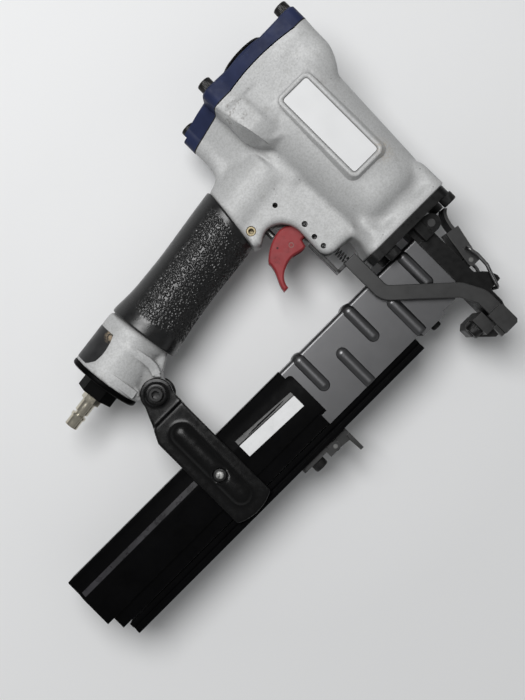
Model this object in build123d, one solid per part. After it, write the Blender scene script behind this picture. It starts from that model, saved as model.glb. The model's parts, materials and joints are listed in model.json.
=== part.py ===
from build123d import *
import math
import os

# Pneumatic stapler, lying on its left side.
# X runs forward, away from the handle. Y runs up the driver line, from the
# contact foot to the cap. Z points to the tool's right side. The origin is on
# the driver line, level with the end of the contact foot, in the mid-plane.

# Heights along the driver line
NOSE_TIP_Y = 9.0
NOSE_HEEL_Y = 31.0
BASE_Y = 97.0
SEAM_Y = 232.0
NOSE_FLANGE_T = 6.0
GASKET_T = 0.8
CAP_T = 12.0
RIM_H = 6.0
BARREL_TOP_Y = 200.0
SHOULDER_LOW_Y = 191.0
SHOULDER_FRONT_Y = 211.0
SHOULDER_REAR_Y = 206.5
BARREL_LOW_Y = 110.0
FOOT_TOP_Y = 117.0
FOOT_EDGE_H = 7.0

# Body casting
CAP_FRONT_X = 39.0
CAP_REAR_X = -42.3
CAP_HALF_Z = 40.0
CAP_CORNER = 6.6
SCREW_FRONT_IN = 6.1
SCREW_REAR_IN = 7.3
SCREW_SIDE_IN = 7.5
SHOULDER_W = 22.0
SHOULDER_IN = 1.0
SIDE_DIP = 2.6
DIP_R = 150.0
SEAM_ARCH = 3.0
ARCH_HALF = 28.0
REAR_LUG_X = -59.0
REAR_LUG_R = 8.5
TONGUE_SLOPE = 0.17
CHIMNEY_HALF_Z = 19.0
CHIMNEY_LOW_Y = 165.0
BARREL_TOP_HALF_X = 34.3
BARREL_LOW_HALF_X = 31.0
BARREL_IN_Z = 3.6
BARREL_TAPER_Z = 2.4
BARREL_CORNER = 27.0
BARREL_BOWL_R = 12.0
BASE_FRONT_X = 30.2
BASE_REAR_X = -37.0
BASE_HALF_Z = 29.0
FOOT_BOSS_R = 5.8
GUARD_HALF_Z = 17.0
GUARD_EDGE = 2.2
CHEEK_LUG_HALF_Z = 8.5
WEB_TOP_HALF_Z = 19.0
WEB_TOP_H = 34.0
WEB_LOW_H = 11.6
LUG_RIB_W = 4.6
LUG_RIB_TOP_Z = 20.4
LUG_RIB_KNEE_H = 28.0
LUG_RIB_KNEE_Z = 19.4
LUG_RIB_FOOT_H = 13.0
LUG_RIB_FOOT_Z = 12.4
LUG_RIB_END_Z = 11.2
REACH = 100.0

# Plate frame on the right side of the barrel
PLATE_X = 2.0
PLATE_Y = 173.5
PLATE_W = 21.0
PLATE_L = 64.0
PLATE_T = 1.0
PLATE_RISE = 0.4
PLATE_FIT = 0.1
FRAME_WALL = 3.2
FRAME_EDGE = 0.6
FRAME_DEPTH = 9.0

# Bores of the barrel
SLEEVE_ID_R = 22.0
SLEEVE_WALL = 3.0
SLEEVE_FLANGE = 2.0
SLEEVE_LOW_Y = 103.0
SLEEVE_TOP_Y = 221.0
VALVE_BORE_R = 31.0
VALVE_BORE_Y = 214.0
HEAD_VALVE_H = 9.0
RUN = 0.05
GAP = 0.3
SNUG = 0.05

# Piston and driver blade
PISTON_LOW_Y = 200.0
PISTON_H = 16.0
PISTON_BOSS_R = 8.0
PISTON_BOSS_H = 10.0
STROKE = 72.0
BLADE_T = 1.6
BLADE_W = 11.0
BLADE_TIP_Y = 82.0

# Screws
M6_R = 3.0
M6_HEAD_R = 5.0
M6_HEAD_H = 6.0
M6_SOCKET = 5.0
M5_R = 2.5
NOSE_SCREW_X = 24.5
NOSE_SCREW_Z = 22.0

# Handle, tilted down to the rear
HANDLE_X = -80.0
HANDLE_Y = 180.0
HANDLE_TILT = 7.5
CORE_HALF_T = 19.5
CORE_HALF_Z = 17.0
GRIP_HALF_T = 23.2
GRIP_HALF_Z = 20.5
GRIP_FLARE = 2.6
GRIP_LEN = 97.5
GRIP_FRONT_X = -82.2
GRIP_LEAN = 0.104
BELL_LEN = 39.5
BELL_NECK_RISE = 4.6
BELL_NECK_HALF_T = 21.2
BELL_NECK_HALF_Z = 19.0
BELL_HALF_T = 24.8
BELL_HALF_Z = 21.5
END_RISE = 1.0
RESERVOIR_R = 13.0
END_PLATE_T = 3.5
HEX_BOSS_AF = 23.0
HEX_BOSS_L = 9.7
PLUG_HEX_AF = 11.6
PLUG_HEX_L = 5.0
PLUG_THREAD_R = 5.6
PLUG_NECK_R = 4.8
PLUG_NECK_L = 9.0
PLUG_GROOVE_R = 3.6
PLUG_RIM_R = 5.2
PLUG_TIP_R = 4.5
PLUG_TIP_L = 7.5
PLUG_BORE_R = 2.6
BRACKET_EYE_R = 9.5
EYE_BACK = 13.75
EYE_DROP = 32.19

# Trigger and its valve
TRIGGER_X = -51.0
TRIGGER_Y = 142.0
TRIGGER_HALF_Z = 7.8
TRIGGER_PIN_R = 2.0
GUARD_PIN_R = 1.8
PAWL_X = -65.4
PAWL_Y = 139.7
PAWL_PIN_R = 1.5
SLOT_HALF_Z = 8.2
STEM_X = -70.0
STEM_TIP_Y = 151.5
STEM_R = 2.2
VALVE_R = 7.9
VALVE_LOW_Y = 157.5
VALVE_TOP_Y = 183.0
VALVE_PIN_X = -78.9
VALVE_PIN_Y = 163.3
VALVE_PIN_R = 3.3
VALVE_PIN_BORE_R = 1.9

# Nose, door and latch
NOSE_REAR_X = -7.0
NOSE_FRONT_X = 2.0
NOSE_HALF_Z = 12.0
CHEEK_FRONT_X = 5.4
CHEEK_TOP_Y = 80.0
CHEEK_IN_Z = 10.6
CHEEK_OUT_Z = 13.6
FLANGE_REAR_X = -40.0
FLANGE_FRONT_X = 28.0
FLANGE_POCKET = 4.4
DOOR_HALF_Z = 10.3
DOOR_T = 3.0
HINGE_X = 7.5
HINGE_Y = 84.5
HINGE_PIN_R = 2.5
HINGE_EAR_OUT_Z = 19.0
HINGE_EAR_R = 6.1
HINGE_EAR_REAR_X = -3.2
HINGE_LINE_X = 3.7
KNUCKLE_R = 5.0
LEVER_X = 10.6
LEVER_Y = 48.6
LEVER_HALF_Z = 9.6
LEVER_SHEET = 2.0
LEVER_PIN_R = 1.5
LEVER_LUG_R = 3.0
LEVER_LUG_T = 2.7
WIRE_R = 1.25
WIRE_X = 13.5
WIRE_Y = 56.3
WIRE_BAR_X = 9.2
WIRE_BAR_Y = 24.1
WIRE_HALF_Z = 15.3
HOOK_LOW_Y = 26.3

# Contact arm and foot
ARM_W = 10.0
ARM_LOW_Z = 15.0
ARM_T = 3.0
ARM_X = -46.4
ARM_TOP_Y = 105.8
FOOT_REAR_X = -9.6
FOOT_FRONT_X = 2.4
FOOT_CHEEK_T = 4.0
FOOT_LEN = 16.2
HEEL_SEAT_X = -17.8
HEEL_TOP_Z = 2.2
FOOT_SCREW_Y = 14.2
FOOT_SCREW_Z = 8.0
LINK_REAR_X = -57.5
LINK_TAB_T = 2.4
LINK_TOP_Y = 131.0
SPRING_X = -46.5
SPRING_R = 2.9
SPRING_WIRE = 0.8
SPRING_TOP_Y = 122.0

# Magazine
MAG_TOP_Y = 85.1
MAG_SPLIT_X = -131.0
MAG_REAR_X = -326.6
MAG_STEP_REAR_X = -321.6
MAG_COVER_LOW_Y = 38.0
MAG_SHEET = 1.6
MAG_HALF_Z = 12.0
COVER_CORNER = 8.0
NOTCH_L = 4.3
NOTCH_LOW_Y = 46.0
NOTCH_TOP_Y = 79.5
NOTCH_R = 3.0
REAR_RISE = 0.6
REAR_STEP_Y = 48.0
REAR_SIDE_Y = 70.5
REAR_SLOPE_Y = 75.0
REAR_TOP_HALF_Z = 10.4
REAR_FOOT_HALF_Z = 9.8
REAR_IN_Z = 7.8
REAR_TOP_T = 2.2
REAR_FOOT_Y = 39.0
RAIL_LIP_H = 3.3
RAIL_GROOVE_Z = 8.6
RAIL_FOOT_Z = 9.4
RAIL_FOOT_H = 3.0
RAIL_BEVEL = 0.6
TIE_DROP = 2.4
TIE_T = 1.8
TIE_X = -37.0
TIE_L = 20.0
RIB_X = (-20.5, -46.0, -70.3, -93.0, -116.0)
RIB_W = 8.4
RIB_H = 2.5
RIB_TOP_H = 1.5
RIB_L = 28.6
RIB_HIGH_LOW_Y = 54.8
RAIL_FRONT_X = -52.0
RAIL_REAR_X = -317.0
RAIL_TOP_Y = 37.9
RAIL_LOW_Y = 29.0
RAIL_HALF_Z = 10.0
CORE_FRONT_X = -24.0
CORE_REAR_X = -300.0
CORE_TOP_Y = 77.0
CORE_OUT_Z = 4.1
CORE_SHEET = 1.2
PUSHER_X = -40.0
PUSHER_L = 24.0
LATCH_X = -139.0
LATCH_Y = 24.5
LATCH_PIN_R = 1.5
LATCH_PLATE_T = 3.2
LATCH_TAB_X = -127.5
LATCH_TAB_LOW_Y = 11.0
RAIL_SCREW_X = -155.0

# Rear bracket
BRACKET_T = 3.0
BRACKET_W = 31.0
BRACKET_LEFT_W = 26.0
BRACKET_AHEAD = 9.0
BRACKET_LOW_Y = 35.0
BRACKET_BULGE = 4.0
BRACKET_EAR_R = 11.0
JOGGLE_DROP = 15.0
WASHER_R = 7.6
WASHER_H = 1.6
RIVET_BACK = 7.4
RIVET_Y = 65.5
RIVET_R = 3.0
RIVET_HEAD_R = 4.2
BEAD_BACK = 6.3
BEAD_Y = 74.5
BEAD_L = 71.0
BEAD_W = 16.0
BEAD_H = 3.8

# Exhaust deflector
BOSS_R = 22.0
BOSS_H = 4.8
DEFLECTOR_R = 18.0
DEFLECTOR_H = 6.6
DEFLECTOR_SEAT = 1.0

CAP_Y0 = SEAM_Y + GASKET_T
CAP_Y1 = SEAM_Y + CAP_T
SLEEVE_OD_R = SLEEVE_ID_R + SLEEVE_WALL
CHAMBER_R = SLEEVE_OD_R + SLEEVE_FLANGE
REAR_SEAT_Y = CAP_Y1 - M6_HEAD_H
FLANGE_LOW_Y = BASE_Y - NOSE_FLANGE_T
BELL_END_S = GRIP_LEN + BELL_LEN
DEFLECTOR_Y = CAP_Y1 + DEFLECTOR_SEAT + GAP
EYE_Z = CHEEK_LUG_HALF_Z + SNUG
ARM_Z = MAG_HALF_Z + SNUG
SCREW_FRONT_X = CAP_FRONT_X - SCREW_FRONT_IN
SCREW_REAR_X = CAP_REAR_X + SCREW_REAR_IN
SCREW_Z = CAP_HALF_Z - SCREW_SIDE_IN
BARREL_TOP_HALF_Z = CAP_HALF_Z - BARREL_IN_Z
BARREL_LOW_HALF_Z = BARREL_TOP_HALF_Z - BARREL_TAPER_Z
PLATE_Z = BARREL_TOP_HALF_Z + PLATE_RISE
TILT_C = math.cos(math.radians(HANDLE_TILT))
TILT_S = math.sin(math.radians(HANDLE_TILT))
EYE_S = BELL_END_S - EYE_BACK
BRACKET_X = HANDLE_X - TILT_C * EYE_S + TILT_S * EYE_DROP
BRACKET_Y = HANDLE_Y - TILT_S * EYE_S - TILT_C * EYE_DROP
BRACKET_EDGE_X = BRACKET_X + BRACKET_AHEAD
JOGGLE_Y = BRACKET_Y - JOGGLE_DROP
RIVET_X = BRACKET_X - RIVET_BACK
BEAD_X = BRACKET_X - BEAD_BACK
WEB_TOP_Y = BRACKET_Y + WEB_TOP_H
WEB_LOW_Y = BRACKET_Y + WEB_LOW_H


def level(y):
    """Plane square to the driver line at height y."""
    return Plane(origin=(0, y, 0), x_dir=(1, 0, 0), z_dir=(0, 1, 0))


def slab(points, z0, z1):
    """Flat piece with a side-view outline, from z0 to z1."""
    face = make_face(Polyline(*points, close=True))
    return Pos(0, 0, z0) * extrude(face, amount=z1 - z0)


def block(x0, x1, y0, y1, z0, z1):
    """Plain block between two corners."""
    mid = Pos((x0 + x1) / 2, (y0 + y1) / 2, (z0 + z1) / 2)
    return mid * Box(x1 - x0, y1 - y0, z1 - z0)


def rod_z(x, y, r, z0, z1):
    """Round piece along Z."""
    return Pos(x, y, z0) * extrude(Circle(r), amount=z1 - z0)


def rod_y(x, z, r, y0, y1):
    """Round piece along Y."""
    return extrude(level(y0) * Pos(x, -z) * Circle(r), amount=y1 - y0)


def turned(points):
    """Solid turned about the driver line from radius and height pairs."""
    return revolve(make_face(Polyline(*points, close=True)), Axis.Y)


def ring(r0, r1, y0, y1):
    """Plain ring about the driver line."""
    return rod_y(0, 0, r1, y0, y1) - rod_y(0, 0, r0, y0 - 1, y1 + 1)


def mirror_z(shape):
    """The same piece on the other side of the mid-plane."""
    return mirror(shape, about=Plane.XY)


def socket_screw(r, head_r, head_h, socket, length):
    """Socket head screw standing on its seat at the origin, head up +Y."""
    head = rod_y(0, 0, head_r, 0, head_h)
    head = chamfer(head.edges().group_by(Axis.Y)[-1], 0.6)
    hexagon = RegularPolygon(socket / 2, 6, major_radius=False)
    head -= extrude(level(head_h * 0.45) * hexagon, amount=head_h)
    return head + rod_y(0, 0, r, -length, 0.2)


def handle_plane(s):
    """Plane square to the handle, s along it from its front end."""
    origin = (HANDLE_X - TILT_C * s, HANDLE_Y - TILT_S * s, 0)
    return Plane(origin=origin, x_dir=(-TILT_S, TILT_C, 0), z_dir=(-TILT_C, -TILT_S, 0))


def ahead_of_grip():
    """Space in front of the slanted front end of the grip."""
    run = GRIP_LEAN * REACH
    low = HANDLE_Y - REACH
    high = HANDLE_Y + REACH
    return slab([(REACH, low), (GRIP_FRONT_X - run, low), (GRIP_FRONT_X + run, high),
                 (REACH, high)], -REACH, REACH)


def tongue_outline():
    """Plan of the tongue over the handle, from mid-barrel to its screw."""
    half = CHIMNEY_HALF_Z
    root = CAP_REAR_X + 6
    tongue = make_face(Polyline(
        (0, half), (root, half), (REAR_LUG_X, REAR_LUG_R),
        (REAR_LUG_X, -REAR_LUG_R), (root, -half), (0, -half), close=True))
    return tongue + Pos(REAR_LUG_X, 0) * Circle(REAR_LUG_R)


def cap_outline():
    """Plan of the cap: four screw lugs and a tongue over the handle."""
    mid = (CAP_FRONT_X + CAP_REAR_X) / 2
    outline = Pos(mid, 0) * RectangleRounded(
        CAP_FRONT_X - CAP_REAR_X, 2 * CAP_HALF_Z, CAP_CORNER)
    off = DIP_R - SIDE_DIP
    outline -= Pos(CAP_FRONT_X + off, 0) * Circle(DIP_R)
    outline -= Pos(0, CAP_HALF_Z + off) * Circle(DIP_R)
    outline -= Pos(0, -CAP_HALF_Z - off) * Circle(DIP_R)
    return outline + tongue_outline()


def screw_places():
    """Cap screw positions, with the height of each seat."""
    corners = [(x, z, CAP_Y1) for x in (SCREW_FRONT_X, SCREW_REAR_X) for z in (SCREW_Z, -SCREW_Z)]
    return corners + [(REAR_LUG_X, 0, REAR_SEAT_Y)]


def tongue_column(y0, y1):
    """Column behind the barrel that carries the air up to the cap."""
    return extrude(level(y0) * tongue_outline(), amount=y1 - y0)


def tongue_band(low, high):
    """Sloping slice of the space behind the cap lugs, between two heights at its root."""
    run = REACH
    fall = TONGUE_SLOPE * run
    x = CAP_REAR_X
    return slab([(x, low), (x - run, low - fall), (x - run, high - fall), (x, high)], -REACH, REACH)


def seam_arch(lift, inner):
    """Lips of the casting under the arched seam, on both sides of the bore."""
    y = SEAM_Y + lift
    arc = ThreePointArc((-ARCH_HALF, y), (0, y + SEAM_ARCH), (ARCH_HALF, y))
    legs = Polyline((ARCH_HALF, y), (ARCH_HALF, SEAM_Y - 1), (-ARCH_HALF, SEAM_Y - 1), (-ARCH_HALF, y))
    lip = Pos(0, 0, inner) * extrude(make_face([arc, legs]), amount=CAP_HALF_Z)
    return (lip + mirror_z(lip)) & extrude(level(SEAM_Y - 2) * cap_outline(), amount=CAP_T)


def guard_outline():
    """Side view of the trigger housing, with the arch over the trigger."""
    a = Polyline((-20, 190), (-86, 190), (-86, 155), (-80, 152.8), (-76.8, 154.8))
    b = Spline((-76.8, 154.8), (-67, 156.6), (-59.5, 151.2), (-56, 141.4))
    c = Polyline((-56, 141.4), (-56.4, 125))
    d = Spline((-56.4, 125), (-54.2, 118.2), (-48.5, 115.6))
    e = Polyline((-48.5, 115.6), (-30, 114), (-20, 190))
    return make_face([a, b, c, d, e])


def barrel_section(y, half_x, half_z, corner):
    """Plan of the barrel at height y."""
    return level(y) * RectangleRounded(2 * half_x, 2 * half_z, corner)


def barrel():
    """Tapered barrel with a rounded lower end, and its wider top under the cap."""
    wide = barrel_section(BARREL_TOP_Y, BARREL_TOP_HALF_X, BARREL_TOP_HALF_Z, BARREL_CORNER)
    narrow = barrel_section(BARREL_LOW_Y, BARREL_LOW_HALF_X, BARREL_LOW_HALF_Z, BARREL_CORNER)
    tube = loft([narrow, wide])
    tube = fillet(tube.edges().group_by(Axis.Y)[0], BARREL_BOWL_R)
    rim_y = SEAM_Y - RIM_H
    rim = barrel_section(rim_y, CAP_FRONT_X - SIDE_DIP, CAP_HALF_Z - SIDE_DIP, CAP_CORNER * 2)
    tube += loft([wide, rim])
    return tube + extrude(level(rim_y - 0.2) * cap_outline(), amount=RIM_H + 0.2)


def screw_shoulder(edge, side):
    """Broad shoulder under a cap screw, which tapers down into the barrel."""
    ahead = math.copysign(1, edge)

    def section(y, inset, width):
        x = edge - ahead * (inset + width / 2)
        z = side * (CAP_HALF_Z - SHOULDER_IN - inset - width / 2)
        return level(y) * Pos(x, -z) * RectangleRounded(width, width, CAP_CORNER)

    bend = SHOULDER_FRONT_Y if ahead > 0 else SHOULDER_REAR_Y
    low = SHOULDER_LOW_Y
    w = SHOULDER_W
    top = extrude(section(bend, 0, w), amount=SEAM_Y - RIM_H - bend)
    knee = section(bend - 0.4 * (bend - low), 0.11 * w, 0.95 * w)
    return top + loft([section(bend, 0, w), knee, section(low, 0.46 * w, 0.73 * w)])


def foot_pieces():
    """Foot of the casting on the nose flange: its edge, its pedestal and a boss round each screw."""
    mid = Pos((BASE_FRONT_X + BASE_REAR_X) / 2, 0)
    length = BASE_FRONT_X - BASE_REAR_X
    edge = extrude(level(BASE_Y) * mid * RectangleRounded(length, 2 * BASE_HALF_Z, 7), amount=FOOT_EDGE_H)
    edge = fillet(edge.edges().group_by(Axis.Y)[-1], 3)
    upper = RectangleRounded(length - 5, 2 * BASE_HALF_Z - 7, 9)
    pedestal = extrude(level(BASE_Y) * mid * upper, amount=FOOT_TOP_Y - BASE_Y)
    pieces = [edge, fillet(pedestal.edges().group_by(Axis.Y)[-1], 6)]
    y = FOOT_TOP_Y - 2
    for x, z in nose_screw_places():
        pieces.append(rod_y(x, z, FOOT_BOSS_R, BASE_Y, y) + Pos(x, y, z) * Sphere(FOOT_BOSS_R))
    return pieces


def lug_web(outline, profile):
    """Web under the handle end, with its half thickness z given at some heights y."""
    full = profile + [(y, -z) for y, z in reversed(profile)]
    pts = [Vector(BRACKET_X - REACH, y, z) for y, z in full]
    wedge = extrude(make_face(Polyline(*pts, close=True)), amount=2 * REACH, dir=(1, 0, 0))
    return wedge & Pos(0, 0, -REACH) * extrude(outline, amount=2 * REACH)


def handle_end():
    """Bell of the handle with the ribbed web and the eye of the rear bracket."""
    neck = handle_plane(GRIP_LEN + 0.2) * Pos(BELL_NECK_RISE, 0) * Ellipse(
        BELL_NECK_HALF_T, BELL_NECK_HALF_Z)
    end = handle_plane(BELL_END_S) * Pos(END_RISE, 0) * Ellipse(BELL_HALF_T, BELL_HALF_Z)
    x = BRACKET_X
    y = BRACKET_Y
    r = BRACKET_EYE_R
    web = make_face(Polyline(
        (x + 12.3, WEB_TOP_Y), (x + 13.7, y + 18), (x + 9.2, y + 3), (x, y), (x - 9, y + 3),
        (x - 12.9, y + 7), (x - 16.0, WEB_TOP_Y), close=True))
    eye = Pos(x, y) * Circle(r)
    thin = make_face(Polyline(
        (x + 26, y + 26), (x + 23.5, y + 14.5), (x + 16.5, y + 10.5), (x + 7.5, y + 5), (x, y + 26),
        close=True))
    ribs = trace(Polyline((x + 8.6, WEB_TOP_Y), (x + 11.3, y + 17.5), (x + 8.6, y + 6.5)), LUG_RIB_W)
    ribs += trace(Polyline((x - 12.4, WEB_TOP_Y), (x - 9.8, y + 16), (x - 7.2, y + 6.5)), LUG_RIB_W)
    ribs -= Pos(x, y) * Circle(BRACKET_EAR_R + GAP)
    low = y - 2 * r
    shape = loft([neck, end]) + lug_web(web + eye, [
        (WEB_TOP_Y, WEB_TOP_HALF_Z), (WEB_LOW_Y, CHEEK_LUG_HALF_Z), (low, CHEEK_LUG_HALF_Z)])
    shape += lug_web(ribs, [
        (WEB_TOP_Y, LUG_RIB_TOP_Z), (y + LUG_RIB_KNEE_H, LUG_RIB_KNEE_Z),
        (y + LUG_RIB_FOOT_H, LUG_RIB_FOOT_Z), (y, LUG_RIB_END_Z), (low, LUG_RIB_END_Z)])
    return shape + Pos(0, 0, -0.6 * CHEEK_LUG_HALF_Z) * extrude(thin, amount=1.2 * CHEEK_LUG_HALF_Z)


def plate_frame():
    """Raised frame round the name plate."""
    low = PLATE_Z - FRAME_DEPTH
    rise = FRAME_DEPTH + PLATE_T + FRAME_EDGE
    frame = RectangleRounded(PLATE_W + 2 * FRAME_WALL, PLATE_L + 2 * FRAME_WALL, 4)
    frame = Pos(PLATE_X, PLATE_Y, low) * extrude(frame, amount=rise)
    return chamfer(frame.edges().group_by(Axis.Z)[-1], 1.2)


def body_casting():
    body = barrel() + tongue_column(CHIMNEY_LOW_Y, SEAM_Y)
    for edge in (CAP_FRONT_X, CAP_REAR_X):
        for side in (-1, 1):
            body += screw_shoulder(edge, side)
    guard = Pos(0, 0, -GUARD_HALF_Z) * extrude(guard_outline(), amount=2 * GUARD_HALF_Z)
    guard = chamfer(guard.faces().sort_by(Axis.Z)[-1].edges(), GUARD_EDGE)
    guard = chamfer(guard.faces().sort_by(Axis.Z)[0].edges(), GUARD_EDGE)
    handle = extrude(handle_plane(-50) * Ellipse(CORE_HALF_T, CORE_HALF_Z), amount=GRIP_LEN + 55)
    neck = Ellipse(GRIP_HALF_T - 0.5, GRIP_HALF_Z - 0.6)
    neck = extrude(handle_plane(-40) * neck, amount=52)
    saddle = slab([(-50, 222), (-66, 217), (-67.8, 210), (-70.5, 205), (-75, 201.8), (-80.0, 200.6),
                   (-80.0, 190), (-50, 190)], -REAR_LUG_R, REAR_LUG_R)
    saddle = chamfer(saddle.edges().filter_by(Axis.Z, reverse=True), 2.5)
    for piece in foot_pieces():
        body += piece
    body += (guard + neck + saddle) & ahead_of_grip()
    body = body + handle + handle_end() + plate_frame()
    body -= tongue_band(SEAM_Y, SEAM_Y + REACH)
    body += seam_arch(0, VALVE_BORE_R + 1)
    body -= Pos(PLATE_X, PLATE_Y, PLATE_Z) * extrude(RectangleRounded(PLATE_W, PLATE_L, 2), amount=5)
    body -= rod_y(0, 0, CHAMBER_R, BASE_Y - 1, VALVE_BORE_Y + 1)
    body -= rod_y(0, 0, VALVE_BORE_R, VALVE_BORE_Y, SEAM_Y + 1)
    body -= extrude(handle_plane(6) * Circle(RESERVOIR_R), amount=BELL_END_S)
    body -= slab([(-90, 110), (-44, 110), (-44, 152), (-57, 153.5), (-57, 157), (-79, 157), (-81, 150),
                  (-90, 150)], -SLOT_HALF_Z, SLOT_HALF_Z)
    body -= rod_y(STEM_X, 0, VALVE_R + SNUG, 150, VALVE_TOP_Y)
    body -= rod_y(SPRING_X, 0, SPRING_R + 0.4, SPRING_TOP_Y - 14, SPRING_TOP_Y)
    body -= rod_z(TRIGGER_X, TRIGGER_Y, TRIGGER_PIN_R + SNUG, -30, 30)
    for x, y in guard_pin_places():
        body -= rod_z(x, y, GUARD_PIN_R + SNUG, -30, 30)
    body -= rod_z(-56, 164.2, GUARD_PIN_R, 12, 30)
    body -= rod_z(VALVE_PIN_X, VALVE_PIN_Y, VALVE_PIN_R + SNUG, SLOT_HALF_Z, 30)
    body -= rod_z(BRACKET_X, BRACKET_Y, M6_R + SNUG, -30, 30)
    for x, z, seat in screw_places():
        body -= rod_y(x, z, M6_R + SNUG, SEAM_Y - 16, SEAM_Y + 1)
    for x, z in nose_screw_places():
        body -= rod_y(x, z, M6_R + SNUG, BASE_Y - 1, BASE_Y + 12.2)
    return body


def guard_pin_places():
    """Cross pins that keep the trip link in its slot."""
    return [(-52.3, 131.7), (-52.3, 123.4)]


def nose_screw_places():
    """Positions of the screws that hold the nose to the casting."""
    return [(x, z) for x in (-NOSE_SCREW_X, NOSE_SCREW_X) for z in (-NOSE_SCREW_Z, NOSE_SCREW_Z)]


def name_plate():
    plate = RectangleRounded(PLATE_W - 2 * PLATE_FIT, PLATE_L - 2 * PLATE_FIT, 1.9)
    return Pos(PLATE_X, PLATE_Y, PLATE_Z) * extrude(plate, amount=PLATE_T)


def grip_sleeve():
    waist = 1.2
    sections = [(-6, 0), (0.2 * GRIP_LEN, -0.35 * waist), (0.5 * GRIP_LEN, -waist),
                (0.8 * GRIP_LEN, -0.3 * waist), (0.95 * GRIP_LEN, 0.7 * GRIP_FLARE), (GRIP_LEN, GRIP_FLARE)]
    faces = [handle_plane(s) * Ellipse(GRIP_HALF_T + g, GRIP_HALF_Z + g) for s, g in sections]
    grip = loft(faces) - ahead_of_grip()
    return grip - extrude(handle_plane(-40) * Ellipse(CORE_HALF_T, CORE_HALF_Z), amount=GRIP_LEN + 50)


def handle_end_cap():
    rise = Pos(END_RISE, 0)
    plate = extrude(handle_plane(BELL_END_S) * rise * Ellipse(BELL_HALF_T, BELL_HALF_Z), amount=END_PLATE_T)
    plate = chamfer(plate.edges().filter_by(GeomType.ELLIPSE).sort_by(Axis.X)[0], 1.0)
    s = BELL_END_S + END_PLATE_T - 0.2
    hexagon = RegularPolygon(HEX_BOSS_AF / 2, 6, major_radius=False)
    boss = extrude(handle_plane(s) * rise * hexagon, amount=HEX_BOSS_L + 0.2)
    spigot = extrude(handle_plane(BELL_END_S + 0.1) * Circle(RESERVOIR_R - SNUG), amount=-8)
    cap = plate + boss + spigot
    return cap - extrude(handle_plane(BELL_END_S - 20) * rise * Circle(PLUG_THREAD_R), amount=60)


def air_plug():
    rise = Pos(END_RISE, 0)
    s = BELL_END_S + END_PLATE_T + HEX_BOSS_L
    pin = extrude(handle_plane(s - 10) * rise * Circle(PLUG_THREAD_R - SNUG), amount=10.2)
    hexagon = RegularPolygon(PLUG_HEX_AF / 2, 6, major_radius=False)
    pin += extrude(handle_plane(s) * rise * hexagon, amount=PLUG_HEX_L)
    at = s + PLUG_HEX_L
    for r, length in ((PLUG_NECK_R, PLUG_NECK_L), (PLUG_GROOVE_R, 2.0), (PLUG_RIM_R, 2.0),
                      (PLUG_TIP_R, PLUG_TIP_L)):
        pin += extrude(handle_plane(at - 0.05) * rise * Circle(r), amount=length + 0.05)
        at += length
    return pin - extrude(handle_plane(s - 12) * rise * Circle(PLUG_BORE_R), amount=60)


def cap_gasket():
    gasket = extrude(level(SEAM_Y) * cap_outline(), amount=GASKET_T)
    gasket -= tongue_band(SEAM_Y - REACH, SEAM_Y + REACH)
    tongue = tongue_column(SEAM_Y - 20, SEAM_Y + GASKET_T)
    gasket += tongue & tongue_band(SEAM_Y, SEAM_Y + GASKET_T)
    gasket -= seam_arch(GASKET_T, VALVE_BORE_R + 0.9)
    gasket -= rod_y(0, 0, VALVE_BORE_R + 0.2, SEAM_Y - 1, SEAM_Y + 2)
    for x, z, seat in screw_places():
        gasket -= rod_y(x, z, M6_R + 0.2, SEAM_Y - 20, SEAM_Y + 2)
    return gasket


def cylinder_cap():
    cap = extrude(level(CAP_Y0) * cap_outline(), amount=CAP_Y1 - CAP_Y0)
    cap = chamfer(cap.edges().group_by(Axis.Y)[-1], 1.2)
    cap += tongue_column(SEAM_Y - 20, CAP_Y0 + 1) & tongue_band(CAP_Y0, CAP_Y0 + 20)
    cap -= tongue_band(CAP_Y1, CAP_Y1 + REACH)
    y = CAP_Y1 + BOSS_H
    cap += turned([(0, CAP_Y1 - 1), (BOSS_R + 2, CAP_Y1 - 1), (BOSS_R + 2, CAP_Y1), (BOSS_R, y - 0.8),
                   (BOSS_R - 0.8, y), (0, y)])
    cap -= rod_y(0, 0, DEFLECTOR_R + 2 * GAP, CAP_Y1 + DEFLECTOR_SEAT, y + 1)
    cap -= seam_arch(GASKET_T, VALVE_BORE_R + 0.9)
    cap -= rod_y(0, 0, VALVE_BORE_R, CAP_Y0 - 1, CAP_Y1 - 5)
    cap -= rod_y(0, 0, M5_R + SNUG, CAP_Y0, y)
    for k in range(6):
        turn = math.radians(60 * k)
        cap -= rod_y(11 * math.cos(turn), 11 * math.sin(turn), 3.0, CAP_Y0, y)
    for x, z, seat in screw_places():
        cap -= rod_y(x, z, M6_R + 0.2, CAP_Y0 - 20, CAP_Y1 + 1)
    cap -= rod_y(REAR_LUG_X, 0, M6_HEAD_R + 1.5, REAR_SEAT_Y, CAP_Y1 + 1)
    return cap - block(REAR_LUG_X - 20, REAR_LUG_X, REAR_SEAT_Y, CAP_Y1 + 1,
                       -M6_HEAD_R - 1.5, M6_HEAD_R + 1.5)


def cap_screws():
    screw = socket_screw(M6_R, M6_HEAD_R, M6_HEAD_H, M6_SOCKET, CAP_T + 12)
    short = socket_screw(M6_R, M6_HEAD_R, M6_HEAD_H, M6_SOCKET, CAP_T + 6)
    parts = []
    for x, z, seat in screw_places():
        parts.append(Pos(x, seat, z) * (screw if seat == CAP_Y1 else short))
    return Compound(parts)


def exhaust_deflector():
    y = DEFLECTOR_Y
    r = DEFLECTOR_R
    h = DEFLECTOR_H
    shell = turned([(M5_R + RUN, y), (5.0, y), (5.0, y + h - 2), (r - 2, y + h - 2), (r - 2, y),
                    (r, y), (r, y + h - 1.4), (r - 1.4, y + h), (M5_R + RUN, y + h)])
    return shell - block(r / 2, 2 * r, CAP_Y1 + BOSS_H + GAP, y + h - 2, -r / 2, r / 2)


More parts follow.
